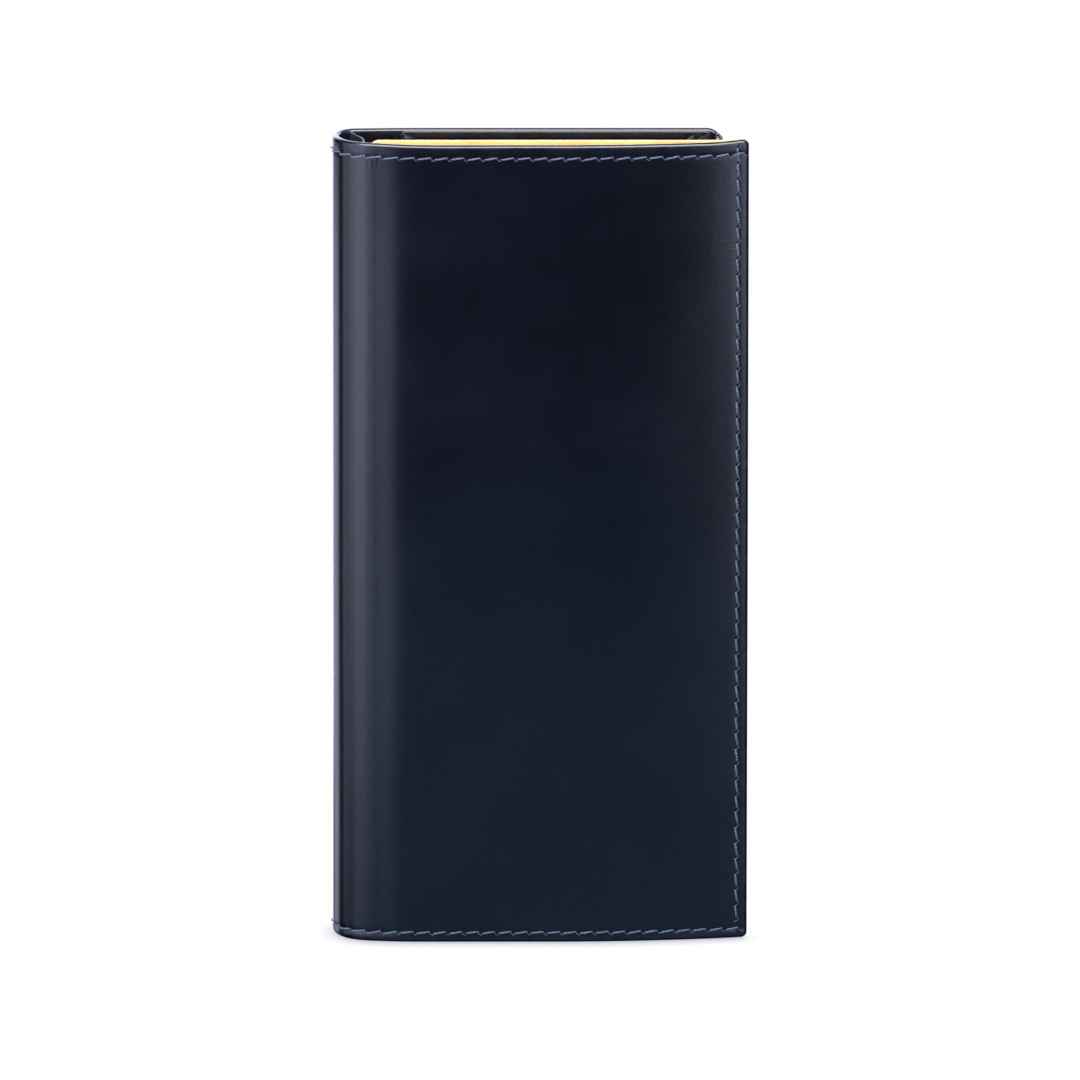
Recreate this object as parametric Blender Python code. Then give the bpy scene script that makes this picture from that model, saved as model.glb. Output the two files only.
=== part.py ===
"""A long leather wallet, closed and standing on one short end.

Metres, +Z up along the wallet's long side. The spine is at -X, the opening edge at +X, the front
cover faces -Y and the back cover +Y. The origin is the centre of the standing end.

The front half is a cover, its lining, an open bill pocket and a card panel. The back half is a
card panel, a zipped coin purse and two bellows compartments on a lined cover. The spine between
them is three strips of the outer leather, so that the wallet unrolls over four folds.
"""

import math

import bmesh
import bpy
from mathutils import Matrix

# Overall sizes.
HEIGHT = 0.192
WIDTH = 0.0966
FRONT_SPINE_RADIUS = 0.0100
OPENING_OVERHANG = 0.0062

# Thicknesses, in the order in which the layers lie from the front face to the back face.
COVER = 0.0017
FRONT_LINING = 0.0004
BILL_POCKET = 0.0042
CARD_BASE = 0.0006
CARD_LEAF = 0.0005
BETWEEN_HALVES = 0.0004
COMPARTMENT = 0.00095
PURSE_WALL = 0.0007
PURSE_SPACE = 0.0005
BACK_LINING = 0.0007

# Clearances.
FIT = 0.00025
SWING_CLEARANCE = 0.0005

# Front half.
FRONT_BEND_LENGTH = 0.045
FRONT_PANEL_INSET = 0.0004
FRONT_PANEL_MARGIN = 0.0008
LINING_INSET = 0.0010

# Back half.
BACK_PANEL_INSET = 0.0020
BACK_COVER_FILLET = 0.0012
BINDING_DEPTH = 0.0022
BINDING_FILLET = 0.0018
GUSSET_DEPTH = 0.0100
GUSSET_LEAF = 0.00017
GUSSET_START = 0.0010
GUSSET_END = 0.0040

# Card slots: two columns on each half, each stepping away from the spine.
SLOT_COUNT = 4
SLOT_STEP = 0.0125
SLOT_FIRST = 0.0060
SLOT_END_MARGIN = 0.0030
SLOT_SIDE_MARGIN = 0.0025
SLOT_COLUMN_GAP = 0.0016
SLOT_FILLET = 0.0015
PANEL_FILLET = 0.0020

# Spine lining, which buckles inwards between the covers while the wallet is closed.
# Its ends lie this far round the spine's turns from the covers' flats.
SPINE_LINING = 0.0005
SPINE_LINING_FRONT_TURN = 0.0026
SPINE_LINING_BACK_TURN = 0.0013
SPINE_LINING_BULGE = 0.0018
SPINE_LINING_TO_PANEL = 0.00105

# Coin purse zip. Its plane faces the spine.
PULL_SWING_ROOM = 0.0012
ZIP_TO_PURSE = 0.00175
ZIP_END_INSET = 0.0100
TAPE = 0.0004
TAPE_END_INSET = 0.0006
TAPE_FOLD_DEPTH = 0.0018
TAPE_FOLD_SLANT = 0.00015
CHAIN_WIDTH = 0.0010
CHAIN_THICKNESS = 0.0012
CHAIN_GAP = 0.0008
STOP_LENGTH = 0.0020
SLIDER_LENGTH = 0.0070
SLIDER_PLATE = 0.0006
SLIDER_LIP = 0.0003
SLIDER_POST = 0.0003
BRIDGE_WIDTH = 0.0012
BRIDGE_LENGTH = 0.0044
BRIDGE_WALL = 0.0006
BRIDGE_HEIGHT = 0.0020
PULL_THICKNESS = 0.0008
PULL_WIDTH = 0.0034
PULL_LENGTH = 0.0165
PULL_BAR = 0.0009
PULL_SIDE_CLEARANCE = 0.0002
PULL_HOLE_LENGTH = 0.0032
PULL_FILLET = 0.0012

# The spine turns through a half circle. These are the folds between its strips, in degrees.
FOLD_ANGLES = (22.5, 67.5, 112.5, 157.5)
ARC_STEP = 7.5
BEND_STEPS = 8
FILLET_STEPS = 3
BUCKLE_STEPS = 12

LAYERS = (
    ("front_cover", COVER),
    ("front_cover_fit", FIT),
    ("front_lining", FRONT_LINING),
    ("bill_pocket", BILL_POCKET),
    ("front_card_base", CARD_BASE),
    ("front_leaf_fit", FIT),
    ("front_leaf", CARD_LEAF),
    ("between_halves", BETWEEN_HALVES),
    ("back_leaf", CARD_LEAF),
    ("back_leaf_fit", FIT),
    ("back_card_base", CARD_BASE),
    ("front_compartment", COMPARTMENT),
    ("purse_front_wall", PURSE_WALL),
    ("purse_space", PURSE_SPACE),
    ("purse_rear_wall", PURSE_WALL),
    ("rear_compartment", COMPARTMENT),
    ("back_lining", BACK_LINING),
    ("back_cover_fit", FIT),
    ("back_cover", COVER),
)
THICKNESS = sum(thickness for _, thickness in LAYERS)
BACK_SPINE_RADIUS = THICKNESS - FRONT_SPINE_RADIUS

SPINE_X = -WIDTH / 2
OPENING_X = WIDTH / 2
BACK_END_X = OPENING_X - OPENING_OVERHANG
BINDING_X = BACK_END_X - BINDING_DEPTH
SWING_X = BINDING_X - SWING_CLEARANCE

# From the spine inwards: the buckled lining, then the zip with its pull, then the purse.
LINING_FRONT_X = SPINE_X + FRONT_SPINE_RADIUS - SPINE_LINING_FRONT_TURN
LINING_BACK_X = SPINE_X + BACK_SPINE_RADIUS - SPINE_LINING_BACK_TURN
LINING_REACH_X = (LINING_FRONT_X + LINING_BACK_X + SPINE_LINING) / 2 + SPINE_LINING_BULGE
FRONT_PANEL_X = LINING_REACH_X + SPINE_LINING_TO_PANEL
SLIDER_HALF_DEPTH = CHAIN_THICKNESS / 2 + FIT + SLIDER_PLATE
ZIP_X = LINING_REACH_X + PULL_SWING_ROOM + BRIDGE_HEIGHT + SLIDER_HALF_DEPTH
PURSE_X = ZIP_X + SLIDER_HALF_DEPTH + ZIP_TO_PURSE


def stack_levels():
    """Each layer's front and rear y, front face first."""
    levels = {}
    front = -THICKNESS / 2
    for name, thickness in LAYERS:
        levels[name] = (front, front + thickness)
        front += thickness
    return levels


LEVELS = stack_levels()

# The zip lies across the space between the front half's slots and the back cover, and its slider
# takes what the two tapes leave.
ZIP_SPACE = (LEVELS["front_leaf"][1], LEVELS["back_cover"][0])
ZIP_Y = sum(ZIP_SPACE) / 2
SLIDER_HALF_WIDTH = (ZIP_SPACE[1] - ZIP_SPACE[0]) / 2 - TAPE - 2 * FIT


# Materials.


def make_finish(name, colour, roughness, metallic=0.0):
    """A Principled finish in linear colour."""
    material = bpy.data.materials.new(name)
    material.use_nodes = True
    shader = material.node_tree.nodes["Principled BSDF"]
    shader.inputs["Base Color"].default_value = (*colour, 1.0)
    shader.inputs["Roughness"].default_value = roughness
    shader.inputs["Metallic"].default_value = metallic
    return material


def make_finishes():
    """Every finish of the wallet, by name."""
    return {
        "navy_leather": make_finish("navy_leather", (0.010, 0.014, 0.027), 0.30),
        "navy_lining": make_finish("navy_lining", (0.008, 0.010, 0.018), 0.62),
        "tan_leather": make_finish("tan_leather", (0.72, 0.40, 0.14), 0.50),
        "zip_tape": make_finish("zip_tape", (0.006, 0.008, 0.015), 0.80),
        "zip_metal": make_finish("zip_metal", (0.72, 0.68, 0.58), 0.25, 1.0),
    }


# Outlines.


def spine_point(angle, depth):
    """A point of the spine at this many degrees round from the front, this deep in the leather."""
    front = angle <= 90
    radius = FRONT_SPINE_RADIUS if front else BACK_SPINE_RADIUS
    turn = math.radians(angle)
    centre_y = -THICKNESS / 2 + FRONT_SPINE_RADIUS
    reach = radius - depth
    return (SPINE_X + radius - reach * math.sin(turn), centre_y - reach * math.cos(turn))


def fold_gap(angle):
    """Half the clearance at a fold, in degrees of the spine."""
    radius = FRONT_SPINE_RADIUS if angle <= 90 else BACK_SPINE_RADIUS
    return math.degrees(FIT / 2 / radius)


def spine_arc(start, end, depth):
    """Points of the spine from one angle to another. The quarter point is always one of them."""
    steps = max(1, round((end - start) / ARC_STEP))
    angles = {start + (end - start) * i / steps for i in range(steps + 1)}
    if start < 90 < end:
        angles.add(90.0)
    return [spine_point(angle, depth) for angle in sorted(angles)]


def front_line(depth, from_x=None):
    """The front cover in plan, this deep in the leather: spine, flat, and the bend that closes the
    bill pocket at the opening edge. With from_x it starts on the flat instead."""
    face_y = -THICKNESS / 2
    drop = BILL_POCKET - FIT
    radius = (FRONT_BEND_LENGTH**2 + drop**2) / (2 * drop)
    bend_x = OPENING_X - FRONT_BEND_LENGTH
    sweep = math.asin(FRONT_BEND_LENGTH / radius)
    if from_x is None:
        first = FOLD_ANGLES[0]
        line = spine_arc(0, first - fold_gap(first), depth)[::-1]
    else:
        line = [(from_x, face_y + depth)]
    for i in range(BEND_STEPS + 1):
        turn = sweep * i / BEND_STEPS
        reach = radius - depth
        line.append((bend_x + reach * math.sin(turn), face_y + radius - reach * math.cos(turn)))
    return line


def front_wall(outer_depth, inner_depth, from_x=None):
    """A closed outline between two depths of the front cover's line."""
    return front_line(outer_depth, from_x) + front_line(inner_depth, from_x)[::-1]


def offset_line(points, distance):
    """A line beside this one, mitred at its corners."""
    moved = []
    for i, point in enumerate(points):
        before = points[max(i - 1, 0)]
        after = points[min(i + 1, len(points) - 1)]
        normals = []
        for a, b in ((before, point), (point, after)):
            run = math.hypot(b[0] - a[0], b[1] - a[1])
            if run > 0:
                normals.append(((a[1] - b[1]) / run, (b[0] - a[0]) / run))
        nx = sum(n[0] for n in normals) / len(normals)
        ny = sum(n[1] for n in normals) / len(normals)
        scale = distance / (nx * nx + ny * ny)
        moved.append((point[0] + nx * scale, point[1] + ny * scale))
    return moved


def ribbon(points, thickness):
    """A closed outline of a strip this thick about a line."""
    return offset_line(points, thickness / 2) + offset_line(points, -thickness / 2)[::-1]


def quarter_turn(centre, radius, start):
    """Points of a quarter circle, anticlockwise from this many degrees."""
    points = []
    for i in range(FILLET_STEPS + 1):
        turn = math.radians(start + 90 * i / FILLET_STEPS)
        points.append((centre[0] + radius * math.cos(turn), centre[1] + radius * math.sin(turn)))
    return points


def rounded_rectangle(low, high, fillets):
    """A rectangle with its own fillet at each corner: low-low, high-low, high-high, low-high."""
    corners = (
        (low[0], low[1], 180),
        (high[0], low[1], 270),
        (high[0], high[1], 0),
        (low[0], high[1], 90),
    )
    outline = []
    for (x, y, start), fillet in zip(corners, fillets):
        if fillet == 0:
            outline.append((x, y))
            continue
        centre_x = x + (fillet if x == low[0] else -fillet)
        centre_y = y + (fillet if y == low[1] else -fillet)
        outline += quarter_turn((centre_x, centre_y), fillet, start)
    return outline


# Solids.


def add_object(name, mesh, finish):
    """Puts a mesh in the scene as a named piece with its finish."""
    mesh.materials.append(finish)
    piece = bpy.data.objects.new(name, mesh)
    bpy.context.scene.collection.objects.link(piece)
    return piece


def prism(name, corners, sweep, finish):
    """A flat outline of 3-D corners swept along a vector into a closed solid."""
    shape = bmesh.new()
    face = shape.faces.new([shape.verts.new(corner) for corner in corners])
    swept = bmesh.ops.extrude_face_region(shape, geom=[face])
    moved = [item for item in swept["geom"] if isinstance(item, bmesh.types.BMVert)]
    bmesh.ops.translate(shape, verts=moved, vec=sweep)
    bmesh.ops.recalc_face_normals(shape, faces=shape.faces)
    mesh = bpy.data.meshes.new(name)
    shape.to_mesh(mesh)
    shape.free()
    return add_object(name, mesh, finish)


def upright(name, outline, bottom, top, finish):
    """A plan outline standing between two heights."""
    corners = [(x, y, bottom) for x, y in outline]
    piece = prism(name, corners, (0, 0, top - bottom), finish)
    piece.data.shade_smooth()
    piece.data.set_sharp_from_angle(angle=math.radians(30))
    return piece


def plate(name, low, high, levels, fillet, finish):
    """A flat sheet across the depth, from (x, z) low to (x, z) high, between two y levels."""
    outline = rounded_rectangle(low, high, (fillet,) * 4)
    corners = [(x, levels[0], z) for x, z in outline]
    return prism(name, corners, (0, levels[1] - levels[0], 0), finish)


def block(name, low, high, finish):
    """A rectangular solid."""
    corners = [(low[0], low[1]), (high[0], low[1]), (high[0], high[1]), (low[0], high[1])]
    return upright(name, corners, low[2], high[2], finish)


def combine(target, tool, operation):
    """Joins a helper to a piece, or cuts it away."""
    tool.hide_render = True
    tool.display_type = "WIRE"
    modifier = target.modifiers.new(operation.lower(), "BOOLEAN")
    modifier.operation = operation
    modifier.solver = "EXACT"
    modifier.object = tool


def set_pivot(piece, pivot):
    """Moves a piece's origin to its joint without moving its shape."""
    piece.data.transform(Matrix.Translation(pivot).inverted())
    piece.location = pivot


# Covers and spine.


def build_front_cover(finishes):
    """Outer leather of the front, from the first fold of the spine to the opening edge."""
    upright("front_cover", front_wall(0, COVER), 0, HEIGHT, finishes["navy_leather"])


def build_front_lining(finishes):
    """Tan lining on the inner face of the front cover."""
    outer_depth = COVER + FIT
    outline = front_wall(outer_depth, outer_depth + FRONT_LINING, FRONT_PANEL_X)
    bottom, top = LINING_INSET, HEIGHT - LINING_INSET
    upright("front_lining", outline, bottom, top, finishes["tan_leather"])


def build_spine(finishes):
    """Three strips of the outer leather, parted at the folds, front strip first."""
    names = ("spine_front_strip", "spine_middle_strip", "spine_rear_strip")
    for name, start, end in zip(names, FOLD_ANGLES, FOLD_ANGLES[1:]):
        inside = (start + fold_gap(start), end - fold_gap(end))
        outline = spine_arc(*inside, 0) + spine_arc(*inside, COVER)[::-1]
        strip = upright(name, outline, 0, HEIGHT, finishes["navy_leather"])
        set_pivot(strip, (*spine_point(end, 0), 0))


def build_spine_lining(finishes):
    """Lining of the spine, buckled inwards from the front cover to the back cover."""
    front = (LINING_FRONT_X, LEVELS["front_cover"][1] + FIT + SPINE_LINING)
    back = (LINING_BACK_X, LEVELS["back_cover"][0] - FIT - SPINE_LINING)
    points = []
    for i in range(BUCKLE_STEPS + 1):
        along = i / BUCKLE_STEPS
        bulge = SPINE_LINING_BULGE * math.sin(math.pi * along)
        slide = (1 - math.cos(math.pi * along)) / 2
        x = front[0] + (back[0] - front[0]) * slide + bulge
        points.append((x, front[1] + (back[1] - front[1]) * along))
    outline = ribbon(points, SPINE_LINING)
    bottom, top = LINING_INSET, HEIGHT - LINING_INSET
    upright("spine_lining", outline, bottom, top, finishes["navy_lining"])


def build_back_cover(finishes):
    """Outer leather of the back, from the last fold of the spine to its outer edge."""
    last = FOLD_ANGLES[-1]
    inner_y, outer_y = LEVELS["back_cover"]
    outline = spine_arc(last + fold_gap(last), 180, 0)
    centre = (BACK_END_X - BACK_COVER_FILLET, outer_y - BACK_COVER_FILLET)
    outline += quarter_turn(centre, BACK_COVER_FILLET, 0)[::-1]
    outline.append((BACK_END_X, inner_y))
    outline += spine_arc(last + fold_gap(last), 180, COVER)[::-1]
    upright("back_cover", outline, 0, HEIGHT, finishes["navy_leather"])


def build_back_lining(finishes):
    """Lining of the back cover, under the rear bellows compartment."""
    low = (PURSE_X, LINING_INSET)
    high = (BINDING_X - FIT, HEIGHT - LINING_INSET)
    plate("back_lining", low, high, LEVELS["back_lining"], PANEL_FILLET, finishes["navy_lining"])


def build_outer_binding(finishes):
    """Rolled strip that closes the outer edge of the back half, from lining to card panel."""
    low = (BINDING_X, LEVELS["back_leaf"][0])
    high = (BACK_END_X, LEVELS["back_cover"][0] - FIT)
    outline = rounded_rectangle(low, high, (0, BINDING_FILLET, BINDING_FILLET, 0))
    bottom, top = BACK_PANEL_INSET, HEIGHT - BACK_PANEL_INSET
    upright("outer_binding", outline, bottom, top, finishes["navy_leather"])


# Card panels.


def build_card_panel(half, start, end, inset, base, leaf, pivot, finishes):
    """A base sheet with two columns of card slots whose mouths face the spine."""
    tan = finishes["tan_leather"]
    low, high = (start, inset), (end, HEIGHT - inset)
    pieces = [plate(f"{half}_card_panel", low, high, base, PANEL_FILLET, tan)]
    side = inset + SLOT_SIDE_MARGIN
    columns = {
        "lower": (side, HEIGHT / 2 - SLOT_COLUMN_GAP / 2),
        "upper": (HEIGHT / 2 + SLOT_COLUMN_GAP / 2, HEIGHT - side),
    }
    for column, (bottom, top) in columns.items():
        for i in range(SLOT_COUNT):
            mouth = start + SLOT_FIRST + i * SLOT_STEP
            last = i == SLOT_COUNT - 1
            foot = end - SLOT_END_MARGIN if last else mouth + SLOT_STEP - FIT
            name = f"{half}_card_slot_{column}_{i + 1}"
            pieces.append(plate(name, (mouth, bottom), (foot, top), leaf, SLOT_FILLET, tan))
    if pivot is not None:
        for piece in pieces:
            set_pivot(piece, pivot)


def build_card_panels(finishes):
    """The fixed panel of the front half and the swinging one of the back half."""
    build_card_panel(
        "front",
        FRONT_PANEL_X,
        OPENING_X - FRONT_PANEL_MARGIN,
        FRONT_PANEL_INSET,
        LEVELS["front_card_base"],
        LEVELS["front_leaf"],
        None,
        finishes,
    )
    build_card_panel(
        "back",
        PURSE_X,
        SWING_X,
        BACK_PANEL_INSET,
        LEVELS["back_card_base"],
        LEVELS["back_leaf"],
        (SWING_X, sum(LEVELS["back_card_base"]) / 2, 0),
        finishes,
    )


# Bellows gussets.


def build_gusset(name, levels, at_top, finishes):
    """A strip folded once into a compartment, its two leaves along the compartment's end."""
    front, rear = levels[0] + FIT, levels[1] - FIT
    middle = (front + rear) / 2
    outline = (
        (front, 0),
        (front + GUSSET_LEAF, 0),
        (middle, GUSSET_DEPTH - GUSSET_LEAF),
        (rear - GUSSET_LEAF, 0),
        (rear, 0),
        (middle + GUSSET_LEAF / 2, GUSSET_DEPTH),
        (middle - GUSSET_LEAF / 2, GUSSET_DEPTH),
    )
    start = PURSE_X + GUSSET_START
    end = SWING_X - GUSSET_END
    corners = []
    for y, depth in outline:
        z = HEIGHT - BACK_PANEL_INSET - depth if at_top else BACK_PANEL_INSET + depth
        corners.append((start, y, z))
    prism(name, corners, (end - start, 0, 0), finishes["navy_lining"])


def build_gussets(finishes):
    """Bellows at both short ends of both compartments."""
    for place in ("front", "rear"):
        for end, at_top in (("upper", True), ("lower", False)):
            levels = LEVELS[f"{place}_compartment"]
            build_gusset(f"{place}_gusset_{end}", levels, at_top, finishes)


# Coin purse.


def build_purse(finishes):
    """Two walls and the strip that joins them along the outer edge."""
    edge_x = SWING_X - PURSE_WALL
    bottom, top = BACK_PANEL_INSET, HEIGHT - BACK_PANEL_INSET
    leather = finishes["navy_leather"]
    pivot = (SWING_X, (LEVELS["purse_front_wall"][0] + LEVELS["purse_rear_wall"][1]) / 2, 0)
    pieces = []
    for name in ("purse_front_wall", "purse_rear_wall"):
        low, high = (PURSE_X, bottom), (edge_x - FIT, top)
        pieces.append(plate(name, low, high, LEVELS[name], PANEL_FILLET, leather))
    low = (edge_x, LEVELS["purse_front_wall"][0], bottom)
    high = (SWING_X, LEVELS["purse_rear_wall"][1], top)
    pieces.append(block("purse_outer_edge", low, high, leather))
    for piece in pieces:
        set_pivot(piece, pivot)


def build_zip_tape(name, side, wall_levels, finishes):
    """A tape that runs out from the teeth, turns back past the slider and meets its purse wall."""
    inner = CHAIN_GAP / 2 + CHAIN_WIDTH + FIT
    outer = SLIDER_HALF_WIDTH + FIT + TAPE / 2
    wall_x = PURSE_X - FIT - TAPE / 2
    points = [
        (ZIP_X, ZIP_Y + side * inner),
        (ZIP_X, ZIP_Y + side * outer),
        (ZIP_X + TAPE_FOLD_DEPTH, ZIP_Y + side * (outer - TAPE_FOLD_SLANT)),
        (wall_x, sum(wall_levels) / 2),
    ]
    bottom = BACK_PANEL_INSET + TAPE_END_INSET
    upright(name, ribbon(points, TAPE), bottom, HEIGHT - bottom, finishes["zip_tape"])


def build_zip_chain(name, side, finishes):
    """One side's teeth as a solid bar along the edge of its tape."""
    near = ZIP_Y + side * CHAIN_GAP / 2
    far = near + side * CHAIN_WIDTH
    low = (ZIP_X - CHAIN_THICKNESS / 2, min(near, far), ZIP_END_INSET)
    high = (ZIP_X + CHAIN_THICKNESS / 2, max(near, far), HEIGHT - ZIP_END_INSET)
    block(name, low, high, finishes["zip_metal"])


def build_zip_stop(name, bottom, finishes):
    """A block clamped over both tapes' edges, past one end of the teeth."""
    reach = CHAIN_GAP / 2 + CHAIN_WIDTH
    low = (ZIP_X - CHAIN_THICKNESS / 2, ZIP_Y - reach, bottom)
    high = (ZIP_X + CHAIN_THICKNESS / 2, ZIP_Y + reach, bottom + STOP_LENGTH)
    block(name, low, high, finishes["zip_metal"])


def slider_outline():
    """The slider in plan: two plates with lips that hold the teeth, joined by a thin post."""
    channel = CHAIN_THICKNESS / 2 + FIT
    outer = channel + SLIDER_PLATE
    slot = TAPE / 2 + FIT
    lip = SLIDER_HALF_WIDTH - SLIDER_LIP
    post = SLIDER_POST / 2
    quarter = [
        (outer, SLIDER_HALF_WIDTH),
        (slot, SLIDER_HALF_WIDTH),
        (slot, lip),
        (channel, lip),
        (channel, post),
    ]
    outline = [(-x, y) for x, y in quarter]
    outline += [(x, y) for x, y in quarter[::-1]]
    outline += [(x, -y) for x, y in quarter]
    outline += [(-x, -y) for x, y in quarter[::-1]]
    return [(ZIP_X + x, ZIP_Y + y) for x, y in outline]


def bridge_levels():
    """The x of the slider's outer face and of the bridge's crown."""
    face = ZIP_X - SLIDER_HALF_DEPTH
    return face, face - BRIDGE_HEIGHT


def build_zip_slider(finishes):
    """The slider at the upper end of the zip, with the bridge that holds its pull."""
    metal = finishes["zip_metal"]
    top = HEIGHT - ZIP_END_INSET - FIT
    bottom = top - SLIDER_LENGTH
    slider = upright("zip_slider", slider_outline(), bottom, top, metal)
    face, crown = bridge_levels()
    middle = (bottom + top) / 2
    low_z, high_z = middle - BRIDGE_LENGTH / 2, middle + BRIDGE_LENGTH / 2
    corners = (
        (face + SLIDER_PLATE / 2, low_z),
        (crown, low_z),
        (crown, high_z),
        (face + SLIDER_PLATE / 2, high_z),
        (face + SLIDER_PLATE / 2, high_z - BRIDGE_WALL),
        (crown + BRIDGE_WALL, high_z - BRIDGE_WALL),
        (crown + BRIDGE_WALL, low_z + BRIDGE_WALL),
        (face + SLIDER_PLATE / 2, low_z + BRIDGE_WALL),
    )
    corners = [(x, ZIP_Y - BRIDGE_WIDTH / 2, z) for x, z in corners]
    bridge = prism("slider_bridge_tool", corners, (0, BRIDGE_WIDTH, 0), metal)
    combine(slider, bridge, "UNION")
    set_pivot(slider, (ZIP_X, ZIP_Y, middle))
    bridge.location = (-ZIP_X, -ZIP_Y, -middle)
    bridge.parent = slider


def build_zip_pull(finishes):
    """The pull, hanging from its bar inside the bridge."""
    metal = finishes["zip_metal"]
    face, _ = bridge_levels()
    top = HEIGHT - ZIP_END_INSET - FIT
    foot = top - SLIDER_LENGTH / 2 - BRIDGE_LENGTH / 2 + BRIDGE_WALL
    bar_bottom = foot + FIT
    bar_top = bar_bottom + PULL_BAR
    rear = face - PULL_SIDE_CLEARANCE
    front = rear - PULL_THICKNESS
    outline = rounded_rectangle(
        (ZIP_Y - PULL_WIDTH / 2, bar_top - PULL_LENGTH),
        (ZIP_Y + PULL_WIDTH / 2, bar_top),
        (PULL_FILLET, PULL_FILLET, 0, 0),
    )
    pull = prism("zip_pull", [(rear, y, z) for y, z in outline], (front - rear, 0, 0), metal)
    half_hole = BRIDGE_WIDTH / 2 + PULL_SIDE_CLEARANCE
    low = (front - PULL_THICKNESS, ZIP_Y - half_hole, bar_bottom - PULL_HOLE_LENGTH)
    high = (rear + PULL_THICKNESS, ZIP_Y + half_hole, bar_bottom)
    hole = block("pull_hole_tool", low, high, metal)
    combine(pull, hole, "DIFFERENCE")
    pivot = ((front + rear) / 2, ZIP_Y, (bar_bottom + bar_top) / 2)
    set_pivot(pull, pivot)
    hole.location = tuple(-value for value in pivot)
    hole.parent = pull


def build_zip(finishes):
    """The whole zip of the coin purse."""
    build_zip_tape("zip_tape_front", -1, LEVELS["purse_front_wall"], finishes)
    build_zip_tape("zip_tape_rear", 1, LEVELS["purse_rear_wall"], finishes)
    build_zip_chain("zip_teeth_front", -1, finishes)
    build_zip_chain("zip_teeth_rear", 1, finishes)
    build_zip_stop("zip_stop_upper", HEIGHT - ZIP_END_INSET + FIT, finishes)
    build_zip_stop("zip_stop_lower", ZIP_END_INSET - FIT - STOP_LENGTH, finishes)
    build_zip_slider(finishes)
    build_zip_pull(finishes)


def clear_scene():
    """Removes what a new file holds."""
    for thing in list(bpy.data.objects):
        bpy.data.objects.remove(thing, do_unlink=True)


def main():
    clear_scene()
    finishes = make_finishes()
    build_front_cover(finishes)
    build_front_lining(finishes)
    build_spine(finishes)
    build_spine_lining(finishes)
    build_back_cover(finishes)
    build_back_lining(finishes)
    build_outer_binding(finishes)
    build_card_panels(finishes)
    build_gussets(finishes)
    build_purse(finishes)
    build_zip(finishes)


if __name__ == "__main__":
    main()
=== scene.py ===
"""The long wallet's looks: its leather, thread, zip and studio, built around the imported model.

Metres, in the frame's own axes: +Z up along the wallet's long side, the spine at -X, the opening
edge at +X, the front cover facing -Y and the back cover +Y.
"""

import logging
import math
from collections.abc import Callable, Sequence
from dataclasses import dataclass, field
from enum import Enum
from typing import Any

import bmesh
import bpy
import numpy as np
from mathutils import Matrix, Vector


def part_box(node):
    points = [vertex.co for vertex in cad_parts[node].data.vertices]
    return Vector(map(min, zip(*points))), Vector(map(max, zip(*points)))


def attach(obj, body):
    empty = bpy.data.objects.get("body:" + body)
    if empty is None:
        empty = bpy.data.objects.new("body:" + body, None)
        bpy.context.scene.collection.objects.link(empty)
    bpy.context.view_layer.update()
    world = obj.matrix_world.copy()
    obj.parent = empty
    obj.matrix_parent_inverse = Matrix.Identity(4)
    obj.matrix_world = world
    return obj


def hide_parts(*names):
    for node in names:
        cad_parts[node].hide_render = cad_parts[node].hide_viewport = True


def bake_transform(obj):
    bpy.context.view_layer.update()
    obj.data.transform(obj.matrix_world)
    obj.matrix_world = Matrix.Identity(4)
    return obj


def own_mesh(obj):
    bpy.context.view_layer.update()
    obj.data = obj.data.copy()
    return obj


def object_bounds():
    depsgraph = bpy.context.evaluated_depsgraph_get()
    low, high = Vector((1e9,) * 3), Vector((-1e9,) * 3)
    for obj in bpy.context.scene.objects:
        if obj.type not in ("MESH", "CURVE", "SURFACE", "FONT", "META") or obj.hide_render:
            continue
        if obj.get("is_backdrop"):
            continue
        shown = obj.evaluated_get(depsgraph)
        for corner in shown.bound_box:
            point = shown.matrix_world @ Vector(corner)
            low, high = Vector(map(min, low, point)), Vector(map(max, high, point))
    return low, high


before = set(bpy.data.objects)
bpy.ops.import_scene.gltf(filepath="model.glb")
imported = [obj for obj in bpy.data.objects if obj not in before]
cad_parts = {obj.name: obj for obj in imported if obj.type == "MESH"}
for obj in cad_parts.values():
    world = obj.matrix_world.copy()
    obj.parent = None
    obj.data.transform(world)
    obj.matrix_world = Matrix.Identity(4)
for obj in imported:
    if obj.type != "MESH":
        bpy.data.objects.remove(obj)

Array = np.ndarray
Colour = tuple[float, float, float]
Holes = tuple[Array, Array, Array, Array]
Surface = Callable[[Array, Array, Array], Array]
Material = bpy.types.Material
Object = bpy.types.Object
Socket = bpy.types.NodeSocket
Tree = bpy.types.NodeTree
log = logging.getLogger("wallet")


# Node trees.


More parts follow.
